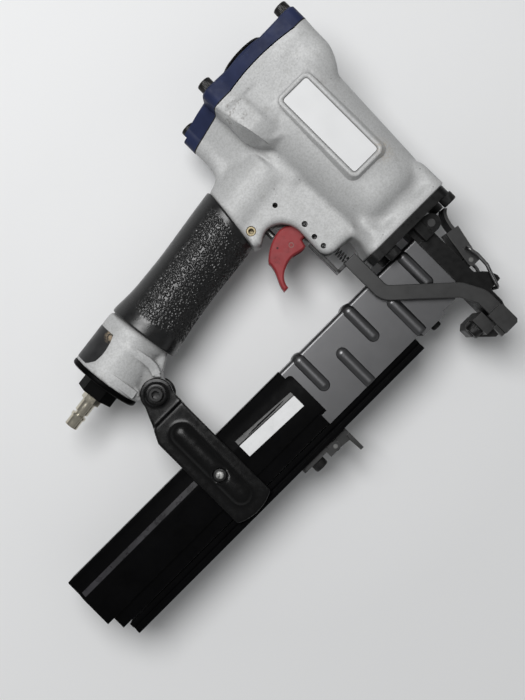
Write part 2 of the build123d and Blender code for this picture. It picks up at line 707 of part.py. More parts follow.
def deflector_screw():
    y = DEFLECTOR_Y + DEFLECTOR_H + 0.1
    head = rod_y(0, 0, 4.5, y, y + 2.6)
    head = chamfer(head.edges().group_by(Axis.Y)[-1], 1.2)
    hexagon = RegularPolygon(1.5, 6, major_radius=False)
    head -= extrude(level(y + 1.0) * hexagon, amount=4)
    return head + rod_y(0, 0, M5_R, CAP_Y1 - 4.9, y + 0.2)


def head_valve():
    y = SLEEVE_TOP_Y + 0.1
    r = VALVE_BORE_R - RUN
    return turned([(12, y), (r, y), (r, y + HEAD_VALVE_H), (26, y + HEAD_VALVE_H),
                   (26, y + 5), (18, y + 5), (18, y + HEAD_VALVE_H), (12, y + HEAD_VALVE_H)])


def head_valve_spring():
    return ring(20.5, 23.5, SLEEVE_TOP_Y + 5.2, CAP_Y1 - 5.1)


def cylinder_sleeve():
    r0 = SLEEVE_ID_R
    r1 = SLEEVE_OD_R
    r2 = CHAMBER_R - SNUG
    g = r2 - 1.6
    low = SLEEVE_LOW_Y
    high = VALVE_BORE_Y - 6
    return turned([(r0, low), (r2, low), (r2, low + 2), (g, low + 2), (g, low + 4), (r2, low + 4),
                   (r2, low + 6), (r1, low + 6), (r1, high), (r2, high), (r2, high + 2),
                   (g, high + 2), (g, high + 4), (r2, high + 4), (r2, high + 6), (r1, high + 6),
                   (r1, SLEEVE_TOP_Y), (r0, SLEEVE_TOP_Y)])


def sleeve_seals():
    r2 = CHAMBER_R - SNUG
    rings = []
    for y in (SLEEVE_LOW_Y + 2, VALVE_BORE_Y - 4):
        rings.append(ring(r2 - 1.6, CHAMBER_R, y, y + 2))
    return Compound(rings)


def bumper():
    r = SLEEVE_ID_R - 0.4
    hole = PISTON_BOSS_R + 1.2
    top = PISTON_LOW_Y - STROKE - 1.0
    return turned([(hole, BASE_Y), (CHAMBER_R - 1, BASE_Y), (CHAMBER_R - 1, SLEEVE_LOW_Y - 0.3),
                   (r, SLEEVE_LOW_Y - 0.3), (r, top - 8), (r - 5, top), (hole, top)])


def piston():
    r = SLEEVE_ID_R - RUN
    g = r - 2.4
    y = PISTON_LOW_Y
    top = y + PISTON_H
    body = turned([(0, y - PISTON_BOSS_H), (PISTON_BOSS_R, y - PISTON_BOSS_H), (PISTON_BOSS_R, y),
                   (r, y), (r, y + 6), (g, y + 6), (g, y + 9.4), (r, y + 9.4), (r, top),
                   (r - 5, top), (r - 5, top - 4), (0, top - 4)])
    half = BLADE_T / 2 + 0.02
    wide = BLADE_W / 2 + 0.02
    return body - block(-half, half, y - 20, y, -wide, wide)


def piston_ring():
    r = SLEEVE_ID_R - RUN
    return ring(r - 2.4, r + 0.02, PISTON_LOW_Y + 6.05, PISTON_LOW_Y + 9.35)


def driver_blade():
    half = BLADE_T / 2
    blade = block(-half, half, BLADE_TIP_Y, PISTON_LOW_Y, -BLADE_W / 2, BLADE_W / 2)
    return blade


def cheek_outline():
    """Side view of a nose cheek, with the hook for the wire bail."""
    front = CHEEK_FRONT_X
    low = HOOK_LOW_Y
    return [(NOSE_REAR_X, NOSE_TIP_Y), (front - 2.4, NOSE_TIP_Y), (front, NOSE_TIP_Y + 7), (front, low),
            (front + 6, low), (front + 9.2, low + 0.6), (front + 9.6, low + 3.3), (front + 8, low + 7.8),
            (front + 5, low + 11.4), (front, low + 15.8), (front, CHEEK_TOP_Y - 2),
            (NOSE_FRONT_X, CHEEK_TOP_Y), (NOSE_REAR_X, CHEEK_TOP_Y)]


def hinge_ear(z0, z1):
    """Fixed half of the door hinge on one side, a block with a round front."""
    low = HINGE_Y - HINGE_EAR_R
    ear = block(HINGE_EAR_REAR_X, HINGE_X, low, FLANGE_LOW_Y + 1, z0, z1)
    ear += rod_z(HINGE_X, HINGE_Y, HINGE_EAR_R, z0, z1)
    for z in (z0, z1):
        if abs(z) > CHEEK_OUT_Z:
            line = block(HINGE_LINE_X - 0.3, HINGE_LINE_X + 0.3, low - 1, FLANGE_LOW_Y, z - 0.6, z + 0.6)
            ear -= line
    return ear


def nose_body():
    length = FLANGE_FRONT_X - FLANGE_REAR_X
    plate = RectangleRounded(length, 2 * BASE_HALF_Z, 6)
    plate = Pos((FLANGE_FRONT_X + FLANGE_REAR_X) / 2, 0) * plate
    nose = extrude(level(FLANGE_LOW_Y) * plate, amount=NOSE_FLANGE_T)
    half = NOSE_HALF_Z
    nose += block(NOSE_REAR_X, NOSE_FRONT_X, NOSE_TIP_Y, FLANGE_LOW_Y + 1, -half, half)
    for side in (-1, 1):
        z0, z1 = sorted((side * CHEEK_IN_Z, side * CHEEK_OUT_Z))
        nose += slab(cheek_outline(), z0, z1)
        e0, e1 = sorted((side * CHEEK_IN_Z, side * HINGE_EAR_OUT_Z))
        nose += hinge_ear(e0, e1)
    channel_x = BLADE_T / 2 + 0.25
    channel_z = BLADE_W / 2 + 0.25
    nose -= block(-channel_x, NOSE_FRONT_X + 1, NOSE_TIP_Y - 1, FLANGE_LOW_Y, -channel_z, channel_z)
    nose -= rod_y(0, 0, PISTON_BOSS_R + 1.2, FLANGE_LOW_Y, BASE_Y + 1)
    nose -= block(NOSE_REAR_X - 1, 0, NOSE_HEEL_Y + 3, BLADE_TIP_Y - 0.5, -7.2, 7.2)
    nose -= rod_z(HINGE_X, HINGE_Y, KNUCKLE_R + 0.4, -CHEEK_IN_Z, CHEEK_IN_Z)
    nose -= rod_z(HINGE_X, HINGE_Y, HINGE_PIN_R + SNUG, -30, 30)
    pocket_z = LEVER_HALF_Z + 0.8
    nose -= block(HINGE_X + KNUCKLE_R, FLANGE_FRONT_X + 1, FLANGE_LOW_Y - 1, FLANGE_LOW_Y + FLANGE_POCKET,
                  -pocket_z, pocket_z)
    for x, z in nose_screw_places():
        nose -= rod_y(x, z, M6_R + 0.2, FLANGE_LOW_Y - 1, BASE_Y + 1)
    return nose


def nose_screws():
    screw = socket_screw(M6_R, M6_HEAD_R, M6_HEAD_H, M6_SOCKET, NOSE_FLANGE_T + 11)
    screw = Rot(180, 0, 0) * screw
    return Compound([Pos(x, FLANGE_LOW_Y, z) * screw for x, z in nose_screw_places()])


def door_pin():
    z = HINGE_EAR_OUT_Z - 0.4
    return rod_z(HINGE_X, HINGE_Y, HINGE_PIN_R, -z, z)


def nose_door():
    x0 = NOSE_FRONT_X + 0.1
    x1 = x0 + DOOR_T
    half = DOOR_HALF_Z
    low = NOSE_TIP_Y + 4
    door = block(x0, x1, low, HINGE_Y - 2, -half, half)
    door += rod_z(HINGE_X, HINGE_Y, KNUCKLE_R, -half, half)
    door += block(BLADE_T / 2 + 0.3, x0 + 1, low, 74, -BLADE_W / 2, BLADE_W / 2)
    z1 = LEVER_HALF_Z - LEVER_SHEET - GAP
    z0 = z1 - LEVER_LUG_T
    lug = rod_z(LEVER_X, LEVER_Y, LEVER_LUG_R, z0, z1)
    lug += block(x1 - 1, LEVER_X, LEVER_Y - LEVER_LUG_R, LEVER_Y + LEVER_LUG_R, z0, z1)
    door = door + lug + mirror_z(lug)
    door -= rod_z(HINGE_X, HINGE_Y, HINGE_PIN_R + RUN, -30, 30)
    return door - rod_z(LEVER_X, LEVER_Y, LEVER_PIN_R + SNUG, -30, 30)


def latch_pin():
    return rod_z(LEVER_X, LEVER_Y, LEVER_PIN_R, -LEVER_HALF_Z, LEVER_HALF_Z)


def latch_lever():
    z = LEVER_HALF_Z
    t = LEVER_SHEET
    side = slab([(7.2, 47.0), (8.6, 44.9), (15.1, 44.7), (16.6, 53), (18.6, 62), (20.4, 70.5),
                 (11.1, 72.2), (9.2, 60)], z - t, z)
    web = slab([(13.9, 50.2), (16.1, 50.2), (18.6, 62), (20.4, 70.5), (18.2, 70.9), (16.4, 62)], -z, z)
    tab = make_face([Spline((18.0, 70.4), (18.6, 76), (20.4, 80.6), (23.4, 83.6)),
                     Line((23.4, 83.6), (22.0, 85.2)),
                     Spline((22.0, 85.2), (18.6, 81.6), (16.7, 76.4), (15.8, 70.8)),
                     Line((15.8, 70.8), (18.0, 70.4))])
    tab = Pos(0, 0, -z) * extrude(tab, amount=2 * z)
    bridge = slab([(15.8, 68.6), (19.6, 68.0), (20.2, 70.5), (15.8, 71.2)], -z, z)
    lever = side + mirror_z(side) + web + bridge + tab
    lever -= rod_z(LEVER_X, LEVER_Y, LEVER_PIN_R + RUN, -30, 30)
    return lever - rod_z(WIRE_X, WIRE_Y, WIRE_R + RUN, -30, 30)


def latch_wire():
    z = WIRE_HALF_Z
    root = LEVER_HALF_Z - LEVER_SHEET
    half = [(WIRE_X, WIRE_Y, root), (WIRE_X, WIRE_Y, z), (WIRE_X + 1.3, WIRE_Y - 8, z),
            (WIRE_X + 0.9, WIRE_Y - 17, z), (WIRE_BAR_X + 2.2, WIRE_BAR_Y + 7, z),
            (WIRE_BAR_X, WIRE_BAR_Y, z), (WIRE_BAR_X, WIRE_BAR_Y, 0)]
    path = FilletPolyline(*half, radius=2.6)
    plane = Plane(origin=(WIRE_X, WIRE_Y, root), x_dir=(1, 0, 0), z_dir=(0, 0, 1))
    side = sweep(plane * Circle(WIRE_R), path=path)
    return side + mirror_z(side)


def arm_path():
    """Centre line of the contact arm strip."""
    pts = [(ARM_X, ARM_TOP_Y), (ARM_X, 74), (-9.5, 40), (-2.6, 27), (-2.8, 2)]
    return FilletPolyline(*pts, radius=10)


def contact_arm():
    strip = trace(arm_path(), ARM_W)
    arm = Pos(0, 0, ARM_LOW_Z) * extrude(strip, amount=ARM_T)
    return arm


def heel_outline():
    """Side view of the plate behind the foot."""
    x = FOOT_REAR_X
    return [(x, 0), (x - 2.6, 0), (x - 14.4, 11.5), (x - 14.4, 17.5), (x - 11, 20.4), (x - 4, 20.4), (x, 16)]


def contact_foot():
    z = ARM_LOW_Z + ARM_T
    inner = ARM_LOW_Z - 0.6
    cheek = block(FOOT_REAR_X, FOOT_FRONT_X, 0, FOOT_LEN, z, z + FOOT_CHEEK_T)
    cheek = chamfer(cheek.edges().filter_by(Axis.Z).sort_by(Axis.X)[-2:], 1.8)
    cheek += block(FOOT_REAR_X - 2.6, FOOT_REAR_X + 2.4, 0, FOOT_LEN / 2, inner, z + 1)
    foot = cheek + mirror_z(cheek)
    foot += slab(heel_outline(), -ARM_LOW_Z, HEEL_TOP_Z)
    foot += block(HEEL_SEAT_X, FOOT_REAR_X, FOOT_LEN / 2 - 1, FOOT_LEN + 4, -ARM_LOW_Z, ARM_LOW_Z)
    foot -= Pos(0, 0, ARM_LOW_Z) * extrude(trace(arm_path(), ARM_W + 0.02), amount=ARM_T)
    foot -= block(FOOT_REAR_X, FOOT_FRONT_X + 6, -1, 60, -inner, inner)
    hole = Rot(0, 90, 0) * extrude(Circle(M6_R + SNUG), amount=-HEEL_SEAT_X + FOOT_REAR_X + 2)
    return foot - Pos(HEEL_SEAT_X - 1, FOOT_SCREW_Y, FOOT_SCREW_Z) * hole


def foot_screw():
    screw = socket_screw(M6_R, M6_HEAD_R, M6_HEAD_H, M6_SOCKET, FOOT_REAR_X - HEEL_SEAT_X)
    return Pos(HEEL_SEAT_X, FOOT_SCREW_Y, FOOT_SCREW_Z) * Rot(0, 0, 90) * screw


def trip_link():
    y1 = ARM_TOP_Y
    y0 = y1 - LINK_TAB_T
    tab = block(LINK_REAR_X, ARM_X + 4.8, y0, y1, -5, ARM_LOW_Z - 0.02)
    tab = chamfer(tab.edges().filter_by(Axis.Y).sort_by(Axis.X)[:2], 1.8)
    finger = block(LINK_REAR_X, LINK_REAR_X + LINK_TAB_T, y0, LINK_TOP_Y, -5, 5)
    return tab + finger


def contact_spring():
    y0 = ARM_TOP_Y + SNUG
    y1 = SPRING_TOP_Y - SNUG
    return rod_y(SPRING_X, 0, SPRING_R, y0, y1) - rod_y(
        SPRING_X, 0, SPRING_R - SPRING_WIRE, y0 - 1, y1 + 1)


def trigger():
    top = Spline((-57.5, 148.8), (-62.5, 151.4), (-68.6, 150.9), (-75, 148.6), (-80.4, 145.4),
                 (-84.8, 141))
    back = Spline((-84.8, 141), (-86.0, 133.5), (-89.2, 126.5), (-90.6, 120.4))
    tip = Line((-90.6, 120.4), (-87.0, 120.6))
    finger = Spline((-87.0, 120.6), (-85, 126.4), (-79, 131.0), (-70, 133), (-64, 131.6),
                    (-59.8, 131.8))
    nose = Polyline((-59.8, 131.8), (-58.4, 136.5), (-51, 136.8), (-46.6, 140), (-46.6, 144.5),
                    (-50, 147.4), (-57.5, 148.8))
    face = make_face([top, back, tip, finger, nose])
    z = TRIGGER_HALF_Z
    piece = Pos(0, 0, -z) * extrude(face, amount=2 * z)
    piece = chamfer(piece.faces().sort_by(Axis.Z)[-1].edges(), 1.2)
    piece = chamfer(piece.faces().sort_by(Axis.Z)[0].edges(), 1.2)
    piece -= slab([(-70, 125), (-70, 144), (-63, 147.6), (-40, 147.6), (-40, 125)], -5.6, 5.6)
    piece -= rod_z(TRIGGER_X, TRIGGER_Y, TRIGGER_PIN_R + RUN, -30, 30)
    return piece - rod_z(PAWL_X, PAWL_Y, PAWL_PIN_R + SNUG, -30, 30)


def trigger_pawl():
    outline = [(-68.6, 138.4), (-65.4, 136.6), (-61.4, 140.2), (-54.6, 141.2), (-54.6, 144.4),
               (-63, 146.4), (-68.6, 143)]
    pawl = slab(outline, -4.6, 4.6)
    return pawl - rod_z(PAWL_X, PAWL_Y, PAWL_PIN_R + SNUG, -30, 30)


def pawl_pin():
    return rod_z(PAWL_X, PAWL_Y, PAWL_PIN_R, -TRIGGER_HALF_Z, TRIGGER_HALF_Z)


def trigger_pin():
    z = GUARD_HALF_Z - 0.5
    return rod_z(TRIGGER_X, TRIGGER_Y, TRIGGER_PIN_R, -z, z)


def guard_pins():
    z = GUARD_HALF_Z - 0.5
    return Compound([rod_z(x, y, GUARD_PIN_R, -z, z) for x, y in guard_pin_places()])


def valve_pin():
    z = GUARD_HALF_Z
    pin = rod_z(VALVE_PIN_X, VALVE_PIN_Y, VALVE_PIN_R, SLOT_HALF_Z + 0.1, z + 0.4)
    return pin - rod_z(VALVE_PIN_X, VALVE_PIN_Y, VALVE_PIN_BORE_R, z - 5, z + 2)


def trigger_valve():
    x = STEM_X
    low = VALVE_LOW_Y
    top = VALVE_TOP_Y
    body = rod_y(x, 0, VALVE_R, low, top)
    body -= rod_y(x, 0, STEM_R + RUN, low - 1, top + 1)
    body -= rod_y(x, 0, 4.6, low + 3.5, top - 2)
    return body


def valve_stem():
    x = STEM_X
    stem = rod_y(x, 0, STEM_R, STEM_TIP_Y, VALVE_TOP_Y - 4)
    return stem + rod_y(x, 0, 4.2, VALVE_LOW_Y + 4, VALVE_LOW_Y + 7)


def valve_spring():
    y0 = VALVE_LOW_Y + 7.1
    y1 = VALVE_TOP_Y - 2.1
    return rod_y(STEM_X, 0, 4.2, y0, y1) - rod_y(STEM_X, 0, 3.2, y0 - 1, y1 + 1)


def bead(x, y_mid, z, width, height, length):
    """Pressed stiffening bead along Y, standing out of a sheet at z."""
    r = (width * width / 4 + height * height) / (2 * height)
    run = length / 2 - width / 2
    low = Pos(x, y_mid - run, z + height - r)
    high = Pos(x, y_mid + run, z + height - r)
    capsule = low * Rot(-90, 0, 0) * extrude(Circle(r), amount=2 * run)
    capsule += low * Sphere(r) + high * Sphere(r)
    return capsule & block(x - r, x + r, y_mid - length, y_mid + length, z - 0.8, z + height + 1)


def cover_notch(clear, z0, z1):
    """Notch in the rear edge of the cover, which a tab of the rear magazine fills."""
    low = NOTCH_LOW_Y - clear
    notch = block(MAG_SPLIT_X - 1, MAG_SPLIT_X + NOTCH_L + clear, low, NOTCH_TOP_Y + clear, z0, z1)
    corner = notch.edges().filter_by(Axis.Z).sort_by(Axis.X)[-2:].sort_by(Axis.Y)[-1]
    return fillet(corner, NOTCH_R + clear)


def magazine_front():
    x0 = MAG_SPLIT_X
    x1 = NOSE_REAR_X - 0.1
    t = MAG_SHEET
    z = MAG_HALF_Z
    low = MAG_COVER_LOW_Y
    c = COVER_CORNER
    shell = slab([(x0, low), (x1 - c, low), (x1, low + c), (x1, MAG_TOP_Y), (x0, MAG_TOP_Y)], -z, z)
    shell = fillet(shell.edges().filter_by(Axis.X).group_by(Axis.Y)[-1], 2.5)
    shell -= block(x0 - 1, x1 + 1, low - 1, MAG_TOP_Y - t, -z + t, z - t)
    for k, x in enumerate(RIB_X):
        if k % 2 == 0:
            one = bead(x, (RIB_HIGH_LOW_Y + MAG_TOP_Y) / 2, z, RIB_W, RIB_H, MAG_TOP_Y - RIB_HIGH_LOW_Y)
            shell += Pos(0, MAG_TOP_Y, 0) * Rot(-90, 0, 0) * bead(x, 0, 0, RIB_W, RIB_TOP_H, 2 * z)
        else:
            one = bead(x, low + RIB_L / 2, z, RIB_W, RIB_H, RIB_L + 2 * RIB_H)
            one &= block(x - RIB_W, x + RIB_W, low, MAG_TOP_Y, 0, 2 * z)
        shell = shell + one + mirror_z(one)
    for side in (-1, 1):
        z0, z1 = sorted((side * (z - t - 1), side * (z + 1)))
        shell -= cover_notch(GAP / 2, z0, z1)
    drop = low - TIE_DROP
    xa = TIE_X - TIE_L / 2
    xb = TIE_X + TIE_L / 2
    for side in (-1, 1):
        z0, z1 = sorted((side * (z - t), side * z))
        shell += block(xa, xb, drop, low + 1, z0, z1)
    shell += block(xa, xb, drop, drop + TIE_T, -z, z)
    return shell - rod_y(TIE_X + 2, 0, 2.0 + 0.15, drop - 1, drop + 3)


def magazine_screw():
    screw = socket_screw(2.0, 3.5, 4.0, 3.0, TIE_T)
    return Pos(TIE_X + 2, MAG_COVER_LOW_Y - TIE_DROP, 0) * Rot(180, 0, 0) * screw


def magazine_rear():
    top = MAG_TOP_Y + REAR_RISE
    z = MAG_HALF_Z
    upper = REAR_TOP_HALF_Z
    foot = REAR_FOOT_HALF_Z
    half = [(0, top), (upper - 1, top), (upper, top - 1), (upper, REAR_SLOPE_Y), (z, REAR_SIDE_Y),
            (z, REAR_STEP_Y), (foot, REAR_STEP_Y), (foot, REAR_FOOT_Y), (REAR_IN_Z, REAR_FOOT_Y),
            (REAR_IN_Z, top - REAR_TOP_T), (0, top - REAR_TOP_T)]
    full = half + [(-z, y) for z, y in reversed(half[1:-1])]
    pts = [Vector(MAG_REAR_X, y, z) for z, y in full]
    face = make_face(Polyline(*pts, close=True))
    length = MAG_SPLIT_X - 0.1 - MAG_REAR_X
    rear = extrude(face, amount=length, dir=(1, 0, 0))
    rear += extrude(face, amount=length + NOTCH_L, dir=(1, 0, 0)) & cover_notch(0, -2 * z, 2 * z)
    inner = z - MAG_SHEET - SNUG
    for side in (-1, 1):
        z0, z1 = sorted((side * (inner - 2.2), side * inner))
        rear += block(MAG_SPLIT_X - 1, MAG_SPLIT_X + 28, 44, 83, z0, z1)
        rear -= rod_z(RIVET_X, RIVET_Y, RIVET_R + SNUG, side * 9 - 8, side * 9 + 8)
    return rear - block(MAG_REAR_X - 1, MAG_STEP_REAR_X, REAR_FOOT_Y - 1, REAR_STEP_Y, -z, z)


def lower_rail():
    lip = RAIL_TOP_Y - RAIL_LIP_H
    foot = RAIL_LOW_Y + RAIL_FOOT_H
    half = [(0, RAIL_TOP_Y), (RAIL_HALF_Z, RAIL_TOP_Y), (RAIL_HALF_Z, lip),
            (RAIL_GROOVE_Z, lip - RAIL_BEVEL), (RAIL_GROOVE_Z, foot + RAIL_BEVEL), (RAIL_FOOT_Z, foot),
            (RAIL_FOOT_Z, RAIL_LOW_Y), (0, RAIL_LOW_Y)]
    full = half + [(-z, y) for z, y in reversed(half[1:-1])]
    pts = [Vector(RAIL_REAR_X, y, z) for z, y in full]
    face = make_face(Polyline(*pts, close=True))
    rail = extrude(face, amount=RAIL_FRONT_X - RAIL_REAR_X, dir=(1, 0, 0))
    rail -= rod_y(RAIL_SCREW_X, 0, M6_R + SNUG, RAIL_LOW_Y - 1, RAIL_TOP_Y - 1.5)
    return rail - block(-135, -127, RAIL_LOW_Y - 1, RAIL_TOP_Y + 1, -3.6, 3.6)


def rail_core():
    y0 = RAIL_TOP_Y
    z = CORE_OUT_Z
    core = block(CORE_REAR_X, CORE_FRONT_X, y0, CORE_TOP_Y, -z, z)
    zi = z - CORE_SHEET
    return core - block(CORE_REAR_X - 1, CORE_FRONT_X + 1, y0 + 2.0, CORE_TOP_Y + 1, -zi, zi)


def pusher():
    x0 = PUSHER_X - PUSHER_L / 2
    x1 = PUSHER_X + PUSHER_L / 2
    zi = CORE_OUT_Z + 0.2
    zo = 6.6
    saddle = block(x0, x1, 44, 80, -zo, zo)
    saddle -= block(x0 - 1, x1 + 1, 43, CORE_TOP_Y + 0.3, -zi, zi)
    tongue_z = CORE_OUT_Z - CORE_SHEET - 0.3
    saddle += block(x0, x1, 52, CORE_TOP_Y + 1, -tongue_z, tongue_z)
    saddle += block(x0 - 7, x0 + 1, 60, 64, -tongue_z, tongue_z)
    return saddle + rod_z(x0 - 8, 62, 2.9, -tongue_z, tongue_z)


def pusher_spring():
    x0 = PUSHER_X - PUSHER_L / 2
    z = CORE_OUT_Z - CORE_SHEET - 0.3
    drum = rod_z(x0 - 8, 62, 6.4, -z, z) - rod_z(x0 - 8, 62, 2.9, -z - 1, z + 1)
    return drum - block(x0 - 8, x0 + 1, 60, 64, -z - 1, z + 1)


def latch_mount():
    y0 = RAIL_LOW_Y - LATCH_PLATE_T
    plate = block(RAIL_SCREW_X - 11, LATCH_X - 3, y0, RAIL_LOW_Y, -7, 7)
    plate = fillet(plate.edges().filter_by(Axis.Y), 2.5)
    for side in (-1, 1):
        z0, z1 = sorted((side * 4.6, side * 6.6))
        plate += rod_z(LATCH_X, LATCH_Y, 3.4, z0, z1)
        plate += block(LATCH_X - 7, LATCH_X, LATCH_Y - 3.0, RAIL_LOW_Y - 0.6, z0, z1)
    plate -= rod_z(LATCH_X, LATCH_Y, LATCH_PIN_R + SNUG, -20, 20)
    return plate - rod_y(RAIL_SCREW_X, 0, M6_R + 0.2, y0 - 4, RAIL_LOW_Y + 4)


def latch_mount_pin():
    return rod_z(LATCH_X, LATCH_Y, LATCH_PIN_R, -7.0, 7.0)


def rail_screw():
    screw = socket_screw(M6_R, M6_HEAD_R, M6_HEAD_H, M6_SOCKET, 9.5)
    return Pos(RAIL_SCREW_X, RAIL_LOW_Y - LATCH_PLATE_T, 0) * Rot(180, 0, 0) * screw


def rail_latch():
    x = LATCH_TAB_X
    outline = [(LATCH_X, LATCH_Y + 3), (LATCH_X - 2.6, LATCH_Y), (LATCH_X, LATCH_Y - 3),
               (x - 2, 20.5), (x - 1.3, LATCH_TAB_LOW_Y), (x + 1.3, LATCH_TAB_LOW_Y),
               (x + 1.3, 27.6), (x - 3, 28.4)]
    lever = slab(outline, -4.2, 4.2)
    lever += block(x - 1.3, x + 1.3, LATCH_TAB_LOW_Y, 24, -7, 7)
    lever += block(-134, -130.6, 26, RAIL_TOP_Y - 0.6, -3.2, 3.2)
    return lever - rod_z(LATCH_X, LATCH_Y, LATCH_PIN_R + RUN, -20, 20)


def bracket_arm(width):
    """Outline of the bracket below the joggle, with a rounded lower end."""
    f = BRACKET_EDGE_X - BRACKET_W
    e = f + width
    low = BRACKET_LOW_Y
    top = JOGGLE_Y
    sides = Polyline((e, low), (e, top), (f + 4.6, top), (f, top - 9), (f, low))
    end = ThreePointArc((f, low), ((e + f) / 2, low - BRACKET_BULGE), (e, low))
    return make_face([sides, end])


def bracket_eye(width):
    """Outline of the bracket above the joggle, round its screw."""
    f = BRACKET_EDGE_X - BRACKET_W
    e = f + width
    x = BRACKET_X
    y = BRACKET_Y
    low = JOGGLE_Y - 3
    arm = make_face(Polyline(
        (e, low), (f + 3, low), (x - 10, y + 2), (x, y), (min(e, x + 9.6), y - 2), close=True))
    return arm + Pos(x, y) * Circle(BRACKET_EAR_R)


def bracket(width):
    """Pressed plate on the right side, from the handle eye to the magazine."""
    f = BRACKET_EDGE_X - BRACKET_W
    top = ARM_Z + BRACKET_T
    plate = Pos(0, 0, EYE_Z) * extrude(bracket_eye(width), amount=BRACKET_T)
    plate += rod_z(BRACKET_X, BRACKET_Y, WASHER_R, EYE_Z + 0.1, EYE_Z + BRACKET_T + WASHER_H)
    plate += Pos(0, 0, ARM_Z) * extrude(bracket_arm(width), amount=BRACKET_T)
    plate += block(f + 6, f + width, JOGGLE_Y - 3, JOGGLE_Y + 0.5, EYE_Z, top)
    plate += bead(BEAD_X, BEAD_Y, top, BEAD_W, BEAD_H, BEAD_L)
    plate -= rod_z(RIVET_X, RIVET_Y, RIVET_HEAD_R + 0.8, top, top + 12)
    plate -= rod_z(RIVET_X, RIVET_Y, RIVET_R + SNUG, 0, top + 12)
    return plate - rod_z(BRACKET_X, BRACKET_Y, M6_R + SNUG, 0, 40)


def bracket_rivets():
    z = ARM_Z + BRACKET_T
    rivet = rod_z(RIVET_X, RIVET_Y, RIVET_R, 8.0, z) + rod_z(RIVET_X, RIVET_Y, RIVET_HEAD_R, z, z + 1.6)
    return Compound([rivet, mirror_z(rivet)])


def bracket_screw():
    z = EYE_Z + BRACKET_T + WASHER_H
    screw = socket_screw(M6_R, M6_HEAD_R, M6_HEAD_H * 0.6, M6_SOCKET, 2 * z + 3)
    return Pos(BRACKET_X, BRACKET_Y, z) * Rot(90, 0, 0) * screw


def bracket_nut():
    z = EYE_Z + BRACKET_T + WASHER_H
    nut = Pos(BRACKET_X, BRACKET_Y, -z - 5) * extrude(
        RegularPolygon(5.0, 6, major_radius=False), amount=5)
    return nut - rod_z(BRACKET_X, BRACKET_Y, M6_R + SNUG, -40, 0)


def main():
    os.makedirs("parts", exist_ok=True)
    makers = [body_casting, name_plate, grip_sleeve, handle_end_cap, air_plug, cap_gasket,
              cylinder_cap, cap_screws, exhaust_deflector, deflector_screw, head_valve,
              head_valve_spring, cylinder_sleeve, sleeve_seals, bumper, piston, piston_ring,
              driver_blade, nose_body, nose_screws, door_pin, nose_door, latch_pin, latch_lever,
              latch_wire, contact_arm, contact_foot, foot_screw, trip_link, contact_spring,
              trigger, trigger_pawl, pawl_pin, trigger_pin, guard_pins, valve_pin, trigger_valve,
              valve_stem, valve_spring, magazine_front, magazine_screw, magazine_rear, lower_rail,
              rail_core, pusher, pusher_spring, latch_mount, latch_mount_pin, rail_screw,
              rail_latch, bracket_rivets, bracket_screw, bracket_nut]
    for maker in makers:
        export_step(maker(), "parts/" + maker.__name__ + ".step")
    export_step(bracket(BRACKET_W), "parts/bracket_right.step")
    export_step(mirror_z(bracket(BRACKET_LEFT_W)), "parts/bracket_left.step")


main()
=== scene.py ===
import json
import math

import bmesh
import bpy
import numpy as np
from mathutils import Matrix, Vector, noise


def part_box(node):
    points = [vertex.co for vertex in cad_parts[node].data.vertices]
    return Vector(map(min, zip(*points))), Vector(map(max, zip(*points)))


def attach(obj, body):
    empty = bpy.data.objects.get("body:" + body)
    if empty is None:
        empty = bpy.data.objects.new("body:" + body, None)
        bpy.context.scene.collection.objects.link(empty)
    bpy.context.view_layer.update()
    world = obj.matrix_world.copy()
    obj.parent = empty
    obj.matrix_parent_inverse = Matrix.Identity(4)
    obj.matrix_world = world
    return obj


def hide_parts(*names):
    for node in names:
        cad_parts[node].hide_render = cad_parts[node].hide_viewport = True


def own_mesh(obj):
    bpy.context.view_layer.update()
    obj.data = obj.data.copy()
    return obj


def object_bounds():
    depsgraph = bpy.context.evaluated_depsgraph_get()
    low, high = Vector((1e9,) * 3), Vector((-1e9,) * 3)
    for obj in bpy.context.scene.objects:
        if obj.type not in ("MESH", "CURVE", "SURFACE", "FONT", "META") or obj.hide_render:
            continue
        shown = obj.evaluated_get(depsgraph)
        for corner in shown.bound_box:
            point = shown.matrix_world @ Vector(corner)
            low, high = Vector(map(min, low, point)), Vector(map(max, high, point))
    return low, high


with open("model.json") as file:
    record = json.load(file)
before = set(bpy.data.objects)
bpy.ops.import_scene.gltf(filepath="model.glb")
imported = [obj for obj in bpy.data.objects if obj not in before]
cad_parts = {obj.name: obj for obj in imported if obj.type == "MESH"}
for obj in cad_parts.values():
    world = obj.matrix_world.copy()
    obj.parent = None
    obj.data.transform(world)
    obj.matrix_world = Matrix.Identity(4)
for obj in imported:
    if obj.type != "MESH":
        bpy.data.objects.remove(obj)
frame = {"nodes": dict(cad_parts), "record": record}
cad_low, cad_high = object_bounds()
nodes = frame["nodes"]
slot_of = {s["node"]: s["material_slot"] for s in frame["record"]["subparts"]}

# Lengths are in mm and angles in degrees, unless a comment says otherwise
MM = 0.001
X_WAY = Vector((1, 0, 0))
Y_WAY = Vector((0, 1, 0))
BOTH_SIDES = (1, -1)

# Camera of the photograph, straight above the tool
CAMERA_X = -128.2
CAMERA_Y = 103.5
CAMERA_HEIGHT = 650
CAMERA_TURN = -45
CAMERA_LENS = 50.14

# Light: a bright ceiling over a dimmer horizon, and one lamp above
SKY = (0.985, 0.995, 1.0)
ZENITH_LEVEL = 0.30
HORIZON_LEVEL = 0.12
SKY_RISE = 0.9
LAMP_PLACE = (-90, 410, 820)
LAMP_SIZE = 500
LAMP_POWER = 6.0

# Floor and backdrop; far from the tool the floor glows a little where it is seen, so it stays pale
FLOOR_COLOUR = (0.84, 0.845, 0.85)
FLOOR_HALF = 3000
FLOOR_GLOW = 0.42
GLOW_FROM = 200
GLOW_FULL = 1200
BACKDROP_LEVEL = 0.72
BACKDROP_FROM = 0.05
BACKDROP_END = 0.5

